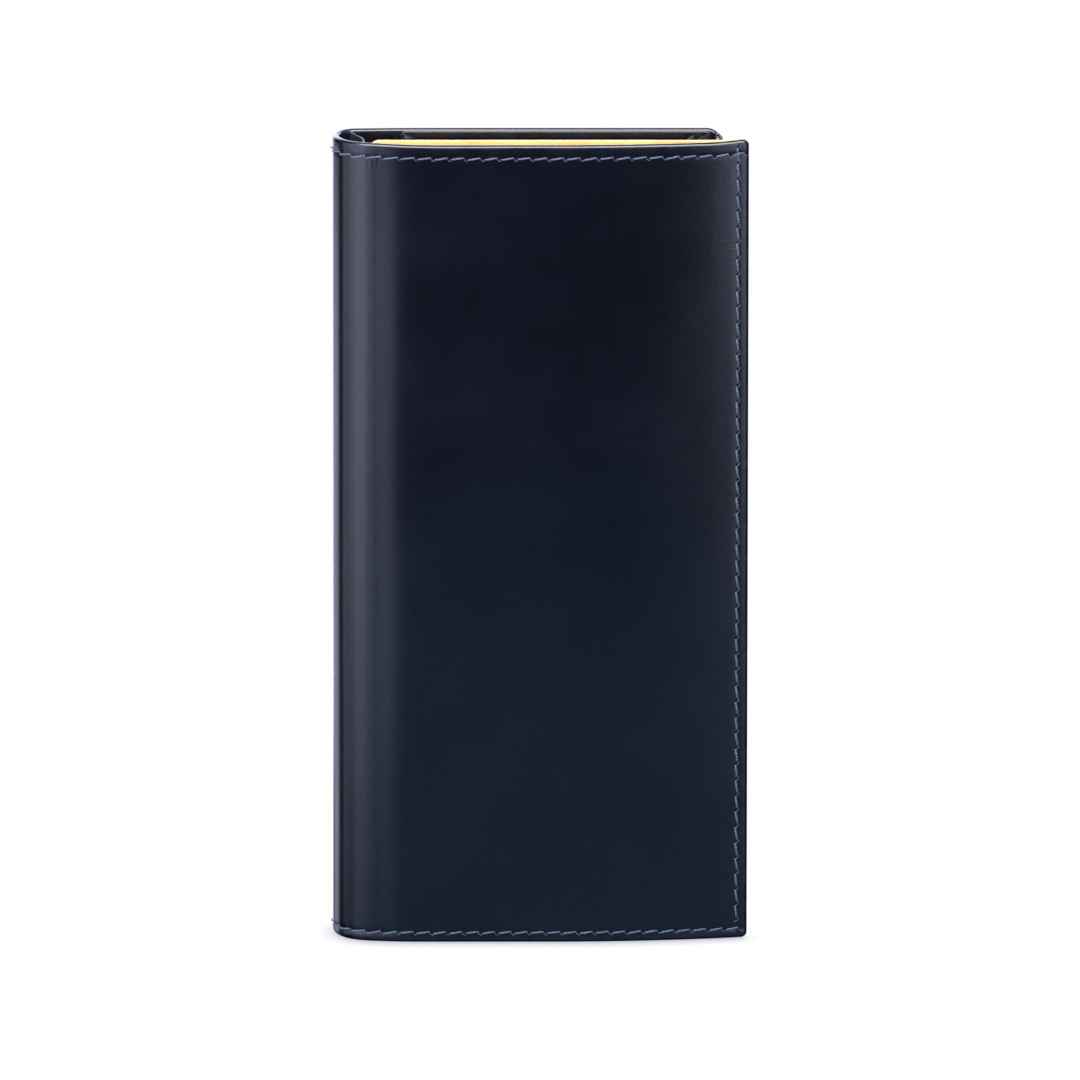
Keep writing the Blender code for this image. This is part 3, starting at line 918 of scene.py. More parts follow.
def stitch_tree() -> Tree:
    """A row of stitches: at each point a needle hole with its raised lip, and a stitch to the next.

    Returns:
        The geometry tree.
    """
    inputs = {
        "Geometry": "Geometry",
        "Pitch": 0.0038,
        "Thread Radius": 0.00022,
        "Lean": 0.00026,
        "Rise": 0.00026,
        "Hole Length": 0.00062,
        "Hole Width": 0.0003,
        "Hole Angle": -0.95,
        "Lip Radius": 0.00007,
        "Unevenness": 0.035,
        "Seed": 7,
        "Thread": "Material",
        "Hole": "Material",
        "Lip": "Material",
    }
    group = Group("stitch_row", "Geometry", inputs, ("Geometry",))
    take, times, vector = group.take, group.times, group.vector
    face, along, sewn = (
        group.add("GeometryNodeInputNamedAttribute", {"Name": name}, data_type=kind).outputs[0]
        for name, kind in (("face", "FLOAT_VECTOR"), ("along", "FLOAT_VECTOR"), ("sewn", "FLOAT"))
    )
    chosen = group.add("FunctionNodeCompare", {0: sewn, 1: 0.5}, data_type="FLOAT", operation="GREATER_THAN")
    upright = group.add(
        "FunctionNodeAxesToRotation",
        {"Primary Axis": face, "Secondary Axis": along},
        primary_axis="Z",
        secondary_axis="X",
    )
    reach = take["Unevenness"]
    sway = group.add(
        "FunctionNodeRandomValue",
        {"Min": times(reach, -1.0), "Max": reach, "Seed": take["Seed"]},
        data_type="FLOAT",
    )
    angle = next(output for output in sway.outputs if output.enabled)
    swing = group.add("FunctionNodeEulerToRotation", {0: vector(z=angle)})
    turned = group.add(
        "FunctionNodeRotateRotation",
        {"Rotation": upright.outputs[0], "Rotate By": swing.outputs[0]},
        rotation_space="LOCAL",
    )

    near, middle, far = (times(take["Pitch"], share) for share in (STITCH_ENDS[0], 0.5, STITCH_ENDS[1]))
    sunk = times(take["Thread Radius"], -THREAD_SINK)
    path = group.add(
        "GeometryNodeCurveQuadraticBezier",
        {
            "Resolution": 6,
            "Start": vector(near, times(take["Lean"], -1.0), sunk),
            "Middle": vector(middle, 0.0, group.math("ADD", take["Rise"], take["Thread Radius"])),
            "End": vector(far, take["Lean"], sunk),
        },
    )
    factor = group.add("GeometryNodeSplineParameter").outputs["Factor"]
    ring, bead = (
        group.add("GeometryNodeCurvePrimitiveCircle", {"Resolution": sides, "Radius": take[radius]})
        for sides, radius in ((6, "Thread Radius"), (5, "Lip Radius"))
    )
    strand, turn = (
        group.add(
            "GeometryNodeStoreNamedAttribute",
            {"Geometry": curve.outputs[0], "Name": name, "Value": factor},
            data_type="FLOAT",
        ).outputs[0]
        for curve, name in ((path, "strand"), (ring, "turn"))
    )
    stitch = group.smooth(group.sweep(strand, turn, **{"Fill Caps": True}))

    size = vector(take["Hole Length"], take["Hole Width"], SLIT_DEPTH)
    aim = vector(z=take["Hole Angle"])
    # Each hole is a shallow lens in the hole material: painted shade where a real hole is a hollow.
    ball = group.add("GeometryNodeMeshUVSphere", {"Segments": 8, "Rings": 4, "Radius": 1.0})
    loop = group.add("GeometryNodeCurveArc", {"Resolution": 9, **LIP_ARC})
    painted_shade_pit, slit = (
        group.add("GeometryNodeTransform", {"Geometry": shape.outputs[0], "Scale": size, "Rotation": aim})
        for shape in (ball, loop)
    )
    lip = group.smooth(group.sweep(slit.outputs[0], bead.outputs[0]))

    join = group.add("GeometryNodeJoinGeometry")
    for shape, material, selection in (
        (stitch, "Thread", chosen.outputs[0]),
        (painted_shade_pit.outputs[0], "Hole", True),
        (lip, "Lip", True),
    ):
        places = {"Points": take["Geometry"], "Rotation": turned.outputs[0], "Selection": selection}
        copies = group.add("GeometryNodeInstanceOnPoints", {"Instance": shape, **places})
        group.tree.links.new(group.coloured(copies.outputs[0], take[material]), join.inputs[0])
    return group.give(join.outputs[0])


@dataclass(frozen=True)
class Seam:
    """How a row of stitches is sewn."""

    pitch: float
    radius: float
    lean: float
    rise: float
    hole: float
    lip: float


COVER_SEAM = Seam(pitch=0.0038, radius=0.00022, lean=0.00026, rise=0.00026, hole=0.00062, lip=0.00007)
INNER_SEAM = Seam(pitch=0.0030, radius=0.00012, lean=0.00006, rise=0.00008, hole=0.00022, lip=0.00003)


class Sewing:
    """Sews rows of stitches on to sheets."""

    def __init__(self, finishes: Finishes) -> None:
        """Makes the stitch tree once."""
        self.tree = stitch_tree()
        self.finishes = finishes

    def row(self, name: str, rows: list[Holes], seam: Seam, thread: Material, lip: Material) -> Object:
        """Sews one object's rows.

        Args:
            name: The object's name.
            rows: For each row its holes, directions to the next hole, normals and sewn marks.
            seam: How they are sewn.
            thread: The thread's material.
            lip: The material of the leather pressed up beside each hole; on the covers its light colour is a
                painted highlight.

        Returns:
            The stitches as one object.
        """
        places, along, face, sewn = (np.concatenate(part) for part in zip(*rows))
        mesh = bpy.data.meshes.new(name)
        mesh.from_pydata(places.tolist(), [], [])
        for label, values in (("along", along), ("face", face)):
            made = mesh.attributes.new(label, "FLOAT_VECTOR", "POINT")
            made.data.foreach_set("vector", values.astype(np.float32).ravel())
        mark = mesh.attributes.new("sewn", "FLOAT", "POINT")
        mark.data.foreach_set("value", sewn.astype(np.float32))
        stitches = new_object(name, mesh)
        values = {
            "Pitch": seam.pitch,
            "Thread Radius": seam.radius,
            "Lean": seam.lean,
            "Rise": seam.rise,
            "Hole Length": seam.hole,
            "Hole Width": seam.hole * SLIT_SHAPE,
            "Lip Radius": seam.lip,
            "Thread": thread,
            "Hole": self.finishes.painted_shade_pit,
            "Lip": lip,
        }
        grow(self.tree, stitches, values)
        log.info("%s: %d stitches", name, int(sewn.sum()))
        return stitches


def holes_along(sheet: Sheet, start: tuple[float, float], end: tuple[float, float], pitch: float) -> Holes:
    """The needle holes of a straight row on a sheet's face.

    Args:
        sheet: The sheet.
        start: The row's first (u, v).
        end: Its last (u, v).
        pitch: The distance between holes.

    Returns:
        Points, directions to the next hole, normals and sewn marks.
    """
    length = math.hypot(end[0] - start[0], end[1] - start[1])
    count = max(1, int(length / pitch + 0.5))
    steps = np.arange(count + 2) / count
    u = start[0] + (end[0] - start[0]) * steps
    v = start[1] + (end[1] - start[1]) * steps
    points, normals = sheet.on_face(u, v)
    sewn = np.ones(count + 1)
    sewn[-1] = 0
    return points[:-1], np.diff(points, axis=0), normals[:-1], sewn


# The outer leather.


@dataclass
class OuterLeather:
    """The front cover, the spine and the back cover: one strip of leather round the wallet.

    u runs from the front's opening edge round the spine to the back's outer edge, and v is z.
    """

    finishes: Finishes
    sewing: Sewing
    front_radius: float = 0.0100
    bend_length: float = 0.0450
    bend_drop: float = 0.00395
    corner: float = 0.0014
    roll: float = 0.00085
    top_inset: float = 0.00315
    bottom_inset: float = 0.00240
    side_inset: float = 0.00270
    front_sag: float = 0.00075
    front_sag_width: float = 0.0055
    front_sag_shift: float = 0.0020
    top_firmness: float = 0.30
    back_sag: float = 0.00025
    back_sag_width: float = 0.0068
    top_dip: float = 0.00036
    dip_edge: float = 0.009
    dip_spine: tuple[float, float] = (0.003, 0.016)
    corner_fall: float = 0.0020
    corner_fall_reach: float = 0.0036
    corner_fall_from: float = 0.88
    groove: float = 0.00007
    groove_width: float = 0.00055
    curl: float = 0.00034
    curl_reach: float = 0.0085
    curl_least: float = 0.2
    slow_wave: float = 0.00003
    quick_wave: float = 0.00002
    crease_drop: float = 0.0040
    crease_bow: float = 45.0
    crease_size: tuple[float, float] = (0.00020, 0.0020)
    creases: tuple[tuple[float, float, float], ...] = (
        (-0.0012, 0.10, 0.000030),
        (-0.0001, -0.16, 0.000026),
        (0.0011, 0.12, 0.000020),
    )
    spine_taper: float = 0.00045
    spine_taper_reach: float = 0.0125
    lining_gap: float = 0.00025
    blend_inset: float = 0.13
    turned_hem: float = 0.0070

    def __post_init__(self) -> None:
        """Reads the covers' places off the frame."""
        front_low, front_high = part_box("front_cover")
        _, back_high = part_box("back_cover")
        spine_low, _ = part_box("spine_middle_strip")
        self.face_y, self.back_y = front_low.y, back_high.y
        self.opening_x, self.end_x = front_high.x, back_high.x
        self.spine_x = spine_low.x
        self.height = front_high.z
        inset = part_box("front_lining")[0].y - front_low.y
        self.thickness = inset - self.lining_gap
        self.back_radius = self.back_y - self.face_y - self.front_radius
        self.bend_x = self.opening_x - self.bend_length
        self.bend_radius = (self.bend_length**2 + self.bend_drop**2) / (2 * self.bend_drop)
        bend = self.bend_radius * math.asin(self.bend_length / self.bend_radius)
        flat = self.bend_x - (self.spine_x + self.front_radius)
        quarter = math.pi / 2
        turns = (self.front_radius * quarter, self.back_radius * quarter)
        self.marks = np.cumsum([bend, flat, *turns, self.end_x - self.spine_x - self.back_radius])

    def place(self, u: Array, v: Array, depth: Array) -> Array:
        """Points of the leather.

        Args:
            u: Length round the wallet from the front's opening edge.
            v: Height.
            depth: Depth in the leather, from its outer face.

        Returns:
            The points, on the last axis.
        """
        bend, front_end, quarter, back_start, _ = self.marks
        v = v - self.fall(u, v)
        depth = depth + self.sag(u, v)
        centre_y = self.face_y + self.front_radius
        turn = (bend - np.minimum(u, bend)) / self.bend_radius
        reach = self.bend_radius - depth
        x = self.bend_x + reach * np.sin(turn) - np.clip(u - bend, 0, None)
        y = self.face_y + self.bend_radius - reach * np.cos(turn)
        for start, radius, lead in (
            (front_end, self.front_radius, 0.0),
            (quarter, self.back_radius, math.pi / 2),
        ):
            angle = lead + (u - start) / radius
            arc_x = self.spine_x + radius - (radius - depth) * np.sin(angle)
            arc_y = centre_y - (radius - depth) * np.cos(angle)
            x = np.where(u > start, arc_x, x)
            y = np.where(u > start, arc_y, y)
        x = np.where(u > back_start, self.spine_x + self.back_radius + u - back_start, x)
        y = np.where(u > back_start, self.back_y - depth, y)
        return np.stack([x, y, v + 0 * u], axis=-1)

    def sag(self, u: Array, v: Array) -> Array:
        """How deep the whole leather lies inside its plain shape.

        Args:
            u: Length round the wallet.
            v: Height.

        Returns:
            Depths: the soft shoulders beside the spine, and the curl of the opening edge.
        """
        _, front_end, _, back_start, _ = self.marks
        middle = front_end + self.front_sag_shift
        firm = 1 - self.top_firmness * np.clip(v / self.height, 0, 1) ** 6
        deep = self.front_sag * firm * np.exp(-(((u - middle) / self.front_sag_width) ** 2))
        deep = deep + self.back_sag * np.exp(-(((u - back_start) / self.back_sag_width) ** 2))
        round_spine = np.exp(-(((u - (front_end + back_start) / 2) / self.spine_taper_reach) ** 2))
        deep = deep + self.spine_taper * round_spine * v / self.height
        edge = np.clip(1 - u / self.curl_reach, 0, 1) ** 2
        least = self.curl_least
        return deep + self.curl * edge * (least + (1 - least) * (v / self.height) ** 2)

    def fall(self, u: Array, v: Array) -> Array:
        """How far the leather lies below its plain height.

        Args:
            u: Length round the wallet.
            v: Height.

        Returns:
            Distances: the front's dipped top edge, and the soft outer corners of the back.
        """
        _, front_end, _, _, end = self.marks
        high = np.clip(v / self.height, 0, 1) ** 4
        from_edge = np.clip(u / self.dip_edge, 0, 1)
        from_spine = np.clip((front_end + self.dip_spine[0] - u) / self.dip_spine[1], 0, 1)
        dip = self.top_dip * high * smooth(from_edge) * smooth(from_spine)
        corner = np.clip(1 - (end - u) / self.corner_fall_reach, 0, 1) ** 2
        side = 2 * v / self.height - 1
        near = np.clip((np.abs(side) - self.corner_fall_from) / (1 - self.corner_fall_from), 0, 1) ** 2
        return dip + self.corner_fall * corner * near * np.sign(side)

    def angle_mark(self, degrees: float) -> float:
        """How far round the wallet a place on the spine lies.

        Args:
            degrees: Its angle round the spine, from the front cover.

        Returns:
            Its u.
        """
        _, front_end, quarter, _, _ = self.marks
        if degrees <= 90:
            return float(front_end + math.radians(degrees) * self.front_radius)
        return float(quarter + math.radians(degrees - 90) * self.back_radius)

    def relief(self, u: Array, v: Array, rim: Array) -> Array:
        """How the outer face stands proud of its plain shape.

        Args:
            u: Length round the wallet.
            v: Height.
            rim: Distance from the edge.

        Returns:
            Heights, negative where the leather is drawn in.
        """
        _, front_end, _, _, end = self.marks
        height = np.zeros_like(u)
        for line, distance in (
            (self.height - v, self.top_inset),
            (v, self.bottom_inset),
            (u, self.side_inset),
            (end - u, self.side_inset),
        ):
            height -= self.groove * np.exp(-(((line - distance) / self.groove_width) ** 2))
        height += self.slow_wave * np.sin(u * 92 + 1.3) * np.sin(v * 41 + 0.4)
        height += self.quick_wave * np.sin(u * 210 + v * 66)
        off = self.height - v - self.crease_drop
        across, down = self.crease_size
        for offset, lean, deep in self.creases:
            middle = front_end - offset + lean * off + self.crease_bow * off**2
            height -= deep * np.exp(-(((u - middle) / across) ** 2)) * np.exp(-((off / down) ** 2))
        return height

    def sheet(self) -> Sheet:
        """The whole strip.

        Returns:
            The sheet, ruled finely near its edges, creases and turns.
        """
        _, front_end, quarter, back_start, end = self.marks
        u_lines = ruled(0, end, self.roll, 0.0003, 0.0048, 0.0022)
        turns = [self.angle_mark(d) for d in np.arange(0, 180.1, 3.75)]
        shoulders = [front_end + s for s in np.arange(-0.0024, 0.0026, 0.0002)]
        shoulders += [front_end - s for s in np.arange(0.0028, 0.0100, 0.0004)]
        shoulders += [back_start + s for s in np.arange(0.0008, 0.0080, 0.0008)]
        u_lines = with_lines(u_lines, shoulders, 0.00012)
        u_lines = with_lines(u_lines, turns, 0.00012)
        v_lines = ruled(0, self.height, self.roll, 0.0003, 0.0066, 0.0035)
        shape = (self.thickness, self.place, self.corner, self.roll, self.relief)
        return Sheet(u_lines, v_lines, *shape, lined_from=self.turned_hem)

    def spans(self) -> list[tuple[str, float, float]]:
        """The six pieces' extents.

        Returns:
            Each piece's name, its first u and its last u.
        """
        marks = [0.0, *(self.angle_mark(d) for d in (0, 45, 90, 135, 180)), float(self.marks[-1])]
        names = (
            "front_cover_leather",
            "spine_leather_front",
            "spine_leather_middle_front",
            "spine_leather_middle_rear",
            "spine_leather_rear",
            "back_cover_leather",
        )
        return list(zip(names, marks, marks[1:]))

    def fasten(self, piece: Object, number: int) -> None:
        """Makes a piece ride on its cover; a piece of the spine only has its transform baked into its mesh.

        Args:
            piece: The piece.
            number: Which span it belongs to, from the front cover.
        """
        bodies = ("front_half", "spine_front", "spine_middle", "spine_rear", "back_half")
        if number in (0, len(bodies)):
            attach(piece, bodies[min(number, len(bodies) - 1)])
            return
        _, first, last = self.spans()[number]
        inset = (last - first) * self.blend_inset
        ends = np.array([first + inset, last - inset])
        start, end = map(tuple, self.place(ends, np.zeros(2), np.zeros(2)))
        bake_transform(piece)
        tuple(start)
        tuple(end)

    def seam_rows(self) -> list[tuple[float, float, float, float]]:
        """The covers' rows of stitches.

        Returns:
            Each row's first u, first v, last u and last v.
        """
        end, side = float(self.marks[-1]), self.side_inset
        top, bottom = self.height - self.top_inset, self.bottom_inset
        high, low = self.height - 0.0014, bottom + 0.0022
        return [
            (0.0008, top, end - 0.0012, top),
            (0.0018, bottom, end - 0.0012, bottom),
            (side, high, side, low),
            (end - side, high, end - side, low),
        ]

    def build(self) -> None:
        """Builds the leather in six pieces, with their stitches."""
        sheet, spans, seams = self.sheet(), self.spans(), self.seam_rows()
        pieces = sheet.build([name for name, _, _ in spans], [last for _, _, last in spans[:-1]])
        strips = (f"spine_{part}_strip" for part in ("front", "middle", "rear"))
        nodes = ("front_cover", *strips, None, "back_cover")
        rows = [holes_along(sheet, row[:2], row[2:], COVER_SEAM.pitch) for row in seams]
        starts = [np.linspace(row[0], row[2], len(holes[0])) for row, holes in zip(seams, rows)]
        look = (self.finishes.navy, self.finishes.navy_inner)
        # The covers' hole lips take a light colour, a painted highlight.
        thread, pressed = self.finishes.thread, self.finishes.pressed
        for number, (piece, (name, first, last)) in enumerate(zip(pieces, spans)):
            finish(piece, Slot.NAVY_LEATHER, *look)
            own = []
            for start, holes in zip(starts, rows):
                inside = (start >= first) & (start < last)
                if inside.any():
                    own.append(tuple(part[inside] for part in holes))
            stitched = name.replace("leather", "stitches")
            stitches = self.sewing.row(stitched, own, COVER_SEAM, thread, pressed)
            self.fasten(piece, number)
            self.fasten(stitches, number)
            if nodes[number]:
                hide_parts(nodes[number])


# Inside the wallet.


def faced(level: float, way: int) -> Surface:
    """A placing function for a flat sheet whose back lies at higher y (way 1) or lower y (way -1)."""
    return lambda u, v, depth: np.stack([u, level + way * depth, v + 0 * u], axis=-1)


def crease(distance: float, deep: float, width: float = 0.00022) -> Surface:
    """The relief of a line pressed along a sheet's whole rim, this far in from it."""
    return lambda u, v, rim: -deep * np.exp(-(((rim - distance) / width) ** 2))


def flat_sheet(low: Vector, high: Vector, way: int, corner: float, relief: Surface = no_relief) -> Sheet:
    """A flat sheet that fills a node's box.

    Args:
        low: The box's lowest corner.
        high: Its highest corner.
        way: 1 if its face is at low y, -1 if at high y.
        corner: Its corner radius.
        relief: Its pressed lines.

    Returns:
        The sheet.
    """
    thickness = high.y - low.y
    roll = min(thickness * 0.6, 0.0004)
    u_lines, v_lines = (
        ruled(first, last, roll, 0.0002, 0.0022, 0.0035)
        for first, last in ((low.x, high.x), (low.z, high.z))
    )
    level = low.y if way > 0 else high.y
    return Sheet(u_lines, v_lines, thickness, faced(level, way), corner, roll, relief)


@dataclass
class FrontLining:
    """The tan lining on the inside of the front cover, bent as the cover is."""

    leather: OuterLeather
    finishes: Finishes
    edge_inset: float = 0.0026
    corner: float = 0.0015
    roll: float = 0.00022
    thickness: float = 0.0004
    rise: float = 0.0004

    def build(self) -> None:
        """Builds the lining over its CAD node."""
        low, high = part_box("front_lining")
        depth = low.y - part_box("front_cover")[0].y
        leather = self.leather
        start = float(leather.marks[1]) + (leather.spine_x + leather.front_radius - low.x)
        sheet = Sheet(
            ruled(self.edge_inset, start, self.roll, 0.0004, 0.003, 0.0025),
            ruled(low.z, high.z + self.rise, self.roll, 0.0004, 0.003, 0.004),
            self.thickness,
            lambda u, v, d: leather.place(u, v, d + depth),
            self.corner,
            self.roll,
        )
        piece = fitted(sheet, "front_lining_leather", "front_lining", Slot.TAN_LEATHER, self.finishes.tan)
        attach(piece, "front_half")


@dataclass
class CardPanel:
    """A tan panel with two columns of shingled card slots, their mouths towards the spine."""

    half: str
    body: str
    finishes: Finishes
    sewing: Sewing
    way: int
    corner: float = 0.0020
    slot_corner: float = 0.0014
    top_trim: float = 0.0
    slope: float = 0.00024
    belly: float = 0.00004
    mouth_crease: float = 0.0012
    mouth_crease_width: float = 0.00022
    mouth_crease_depth: float = 0.00006
    seam_inset: float = 0.0013
    leaves: int = 4

    def _slot_relief(self, low: Vector, high: Vector) -> Surface:
        """A slot leaf slopes down from its mouth, where a line is pressed.

        Args:
            low: The leaf's lowest corner.
            high: Its highest corner.

        Returns:
            The relief function.
        """

        def relief(u: Array, v: Array, rim: Array) -> Array:
            """How one leaf stands proud of its plain face.

            Args:
                u: Places across.
                v: Places along.
                rim: Distances from the edge, which it doesn't need.

            Returns:
                Heights.
            """
            along = np.clip((u - low.x) / (high.x - low.x), 0, 1)
            line = np.exp(-(((u - low.x - self.mouth_crease) / self.mouth_crease_width) ** 2))
            belly = self.belly * np.sin(math.pi * np.clip((v - low.z) / (high.z - low.z), 0, 1))
            return -self.slope * along - self.mouth_crease_depth * line + belly * (1 - along)

        return relief

    def _tan(self, sheet: Sheet, name: str, node: str) -> None:
        """Fits a tan piece that rides with the panel."""
        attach(fitted(sheet, name, node, Slot.TAN_LEATHER, self.finishes.tan), self.body)

    def build(self) -> None:
        """Builds the panel, its eight slots and their stitches."""
        node = f"{self.half}_card_panel"
        low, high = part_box(node)
        high = high - Vector((0, 0, self.top_trim))
        base = flat_sheet(low, high, self.way, self.corner, crease(0.0007, 0.00005))
        self._tan(base, f"{self.half}_panel_leather", node)
        inset, pitch = self.seam_inset, INNER_SEAM.pitch
        (left, right), (bottom, top) = (
            (low[axis] + inset, high[axis] - inset) for axis in (0, 2)
        )
        corners = [(left, bottom), (right, bottom), (right, top), (left, top)]
        rows = [holes_along(base, a, b, pitch) for a, b in zip(corners, [*corners[1:], corners[0]])]
        for column in ("lower", "upper"):
            for number in range(1, self.leaves + 1):
                node = f"{self.half}_card_slot_{column}_{number}"
                low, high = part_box(node)
                leaf = flat_sheet(low, high, self.way, self.slot_corner, self._slot_relief(low, high))
                self._tan(leaf, f"{self.half}_slot_{column}_{number}", node)
                ends = (low.z + inset, high.z - inset)
                left, right = low.x + 0.0006, high.x - 0.0004
                rows += [holes_along(leaf, (left, z), (right, z), pitch) for z in ends]
                if number == self.leaves:
                    x = high.x - inset
                    rows.append(holes_along(leaf, (x, ends[0]), (x, ends[1]), pitch))
        name, thread = f"{self.half}_panel_stitches", self.finishes.sand_thread
        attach(self.sewing.row(name, rows, INNER_SEAM, thread, self.finishes.tan), self.body)


@dataclass
class SpineLining:
    """The lining of the spine, buckled inwards while the wallet is closed."""

    finishes: Finishes
    leather: OuterLeather
    thickness: float = 0.0005
    corner: float = 0.0003
    roll: float = 0.00025
    bulge: float = 0.00144
    front_inset: tuple[float, float] = (0.00125, 0.00075)
    back_inset: tuple[float, float] = (0.0003, 0.0002)
    lift: float = 0.0005
    clear: float = 0.0002
    keep: float = 0.09

    def _path(self, along: Array) -> Array:
        """Points of the buckle from the front cover to the back.

        Args:
            along: Shares of the way.

        Returns:
            The points as (x, y) rows.
        """
        low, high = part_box("spine_lining")
        front_x, back_x = high.x - self.front_inset[0], low.x + self.back_inset[0]
        front_y, back_y = low.y + self.front_inset[1], high.y - self.back_inset[1]
        slide = (1 - np.cos(math.pi * along)) / 2
        x = front_x + (back_x - front_x) * slide + self.bulge * np.sin(math.pi * along)
        return np.stack([x, front_y + (back_y - front_y) * along], axis=-1)

    def _place(self, u: Array, v: Array, depth: Array) -> Array:
        """Points of the lining.

        Args:
            u: Shares of the way from the front cover to the back.
            v: Height.
            depth: Depth from its hollow side.

        Returns:
            The points, on the last axis.
        """
        step = 0.001
        here = self._path(u)
        run = self._path(u + step) - self._path(u - step)
        run = run / np.linalg.norm(run, axis=-1)[..., None]
        x = here[..., 0] - run[..., 1] * depth
        y = here[..., 1] + run[..., 0] * depth
        return np.stack([x, y, v + 0 * u], axis=-1)

    def build(self) -> None:
        """Builds the lining in its buckled shape and sets it on the spine's middle."""
        low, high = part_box("spine_lining")
        sheet = Sheet(
            ruled(0.0, 1.0, 0.02, 0.03, 0.12, 0.03),
            ruled(low.z, high.z + self.lift, self.roll, 0.0004, 0.002, 0.006),
            self.thickness,
            self._place,
            self.corner,
            self.roll,
        )
        name, inner = "spine_lining_leather", self.finishes.navy_inner
        piece = fitted(sheet, name, "spine_lining", Slot.NAVY_LINING, inner)
        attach(piece, "spine_middle")
        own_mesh(piece)


@dataclass
class Bellows:
    """The pleated gussets that let the back half's compartments spread."""

    finishes: Finishes
    thickness: float = 0.00022
    corner: float = 0.00012
    roll: float = 0.0001
    fold_round: float = 0.06
    rear_reach: float = 0.0034
    upper_end_rise: float = 0.0019
    lower_end_rise: float = 0.0004
    end_spread: float = 0.0007
    end_reach: float = 0.0020
    rim_from: float = 0.72
    rim_curve: float = 1.5

    def _sheet(self, low: Vector, high: Vector, at_top: bool) -> Sheet:
        """One gusset: u is x and v runs down one leaf and up the other, from -1 to 1.

        Args:
            low: Its node's lowest corner.
            high: Its highest corner.
            at_top: Whether it closes the upper end.

        Returns:
            The sheet.
        """
        middle, half = (low.y + high.y) / 2, (high.y - low.y) / 2 - self.thickness / 2
        rim_z, fold_z = (high.z, low.z) if at_top else (low.z, high.z)
        rise = self.upper_end_rise if at_top else -self.lower_end_rise

        def path(u: Array, v: Array) -> Array:
            """The pleat's middle line.

            Args:
                u: Places across.
                v: Places down one leaf and up the other.

            Returns:
                The points as (y, z).
            """
            ends = np.exp(-(((u - low.x) / self.end_reach) ** 2))
            ends = ends + np.exp(-(((high.x - u) / self.end_reach) ** 2))
            side = np.sqrt(v * v + self.fold_round**2) - self.fold_round
            near_rim = np.clip((np.abs(v) - self.rim_from) / (1 - self.rim_from), 0, 1) ** self.rim_curve
            y = middle + np.sign(v) * (half * np.abs(v) + self.end_spread * ends * near_rim)
            z = fold_z + (rim_z - fold_z) * side + rise * ends * near_rim
            return np.stack([y, z], axis=-1)

        def place(u: Array, v: Array, depth: Array) -> Array:
            """Points of the gusset.

            Args:
                u: Places across.
                v: Places down one leaf and up the other.
                depth: Depth from one side of the leather.

            Returns:
                The points, on the last axis.
            """
            run = path(u, v + 0.01) - path(u, v - 0.01)
            run = run / np.linalg.norm(run, axis=-1)[..., None]
            here = path(u, v)
            offset = depth - self.thickness / 2
            y = here[..., 0] - run[..., 1] * offset
            return np.stack([u + 0 * v, y, here[..., 1] + run[..., 0] * offset], axis=-1)

        u_lines = ruled(low.x, high.x, self.roll, 0.0004, 0.006, 0.003)
        v_lines = ruled(-1.0, 1.0, 0.012, 0.03, 0.3, 0.07)
        v_lines = with_lines(v_lines, [-0.12, -0.08, -0.04, 0.0, 0.04, 0.08, 0.12], 0.02)
        return Sheet(u_lines, v_lines, self.thickness, place, self.corner, self.roll)

    def build(self) -> None:
        """Builds the four gussets in their closed shape."""
        joins = {"rear": ("back_half", "purse"), "front": ("purse", "card_panel")}
        for side, bodies in joins.items():
            for end in ("upper", "lower"):
                node = f"{side}_gusset_{end}"
                low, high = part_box(node)
                if side == "rear":
                    high = high + Vector((self.rear_reach, 0, 0))
                sheet = self._sheet(low, high, end == "upper")
                inner = self.finishes.navy_inner
                piece = fitted(sheet, f"{side}_bellows_{end}", node, Slot.NAVY_LINING, inner)
                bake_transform(piece)


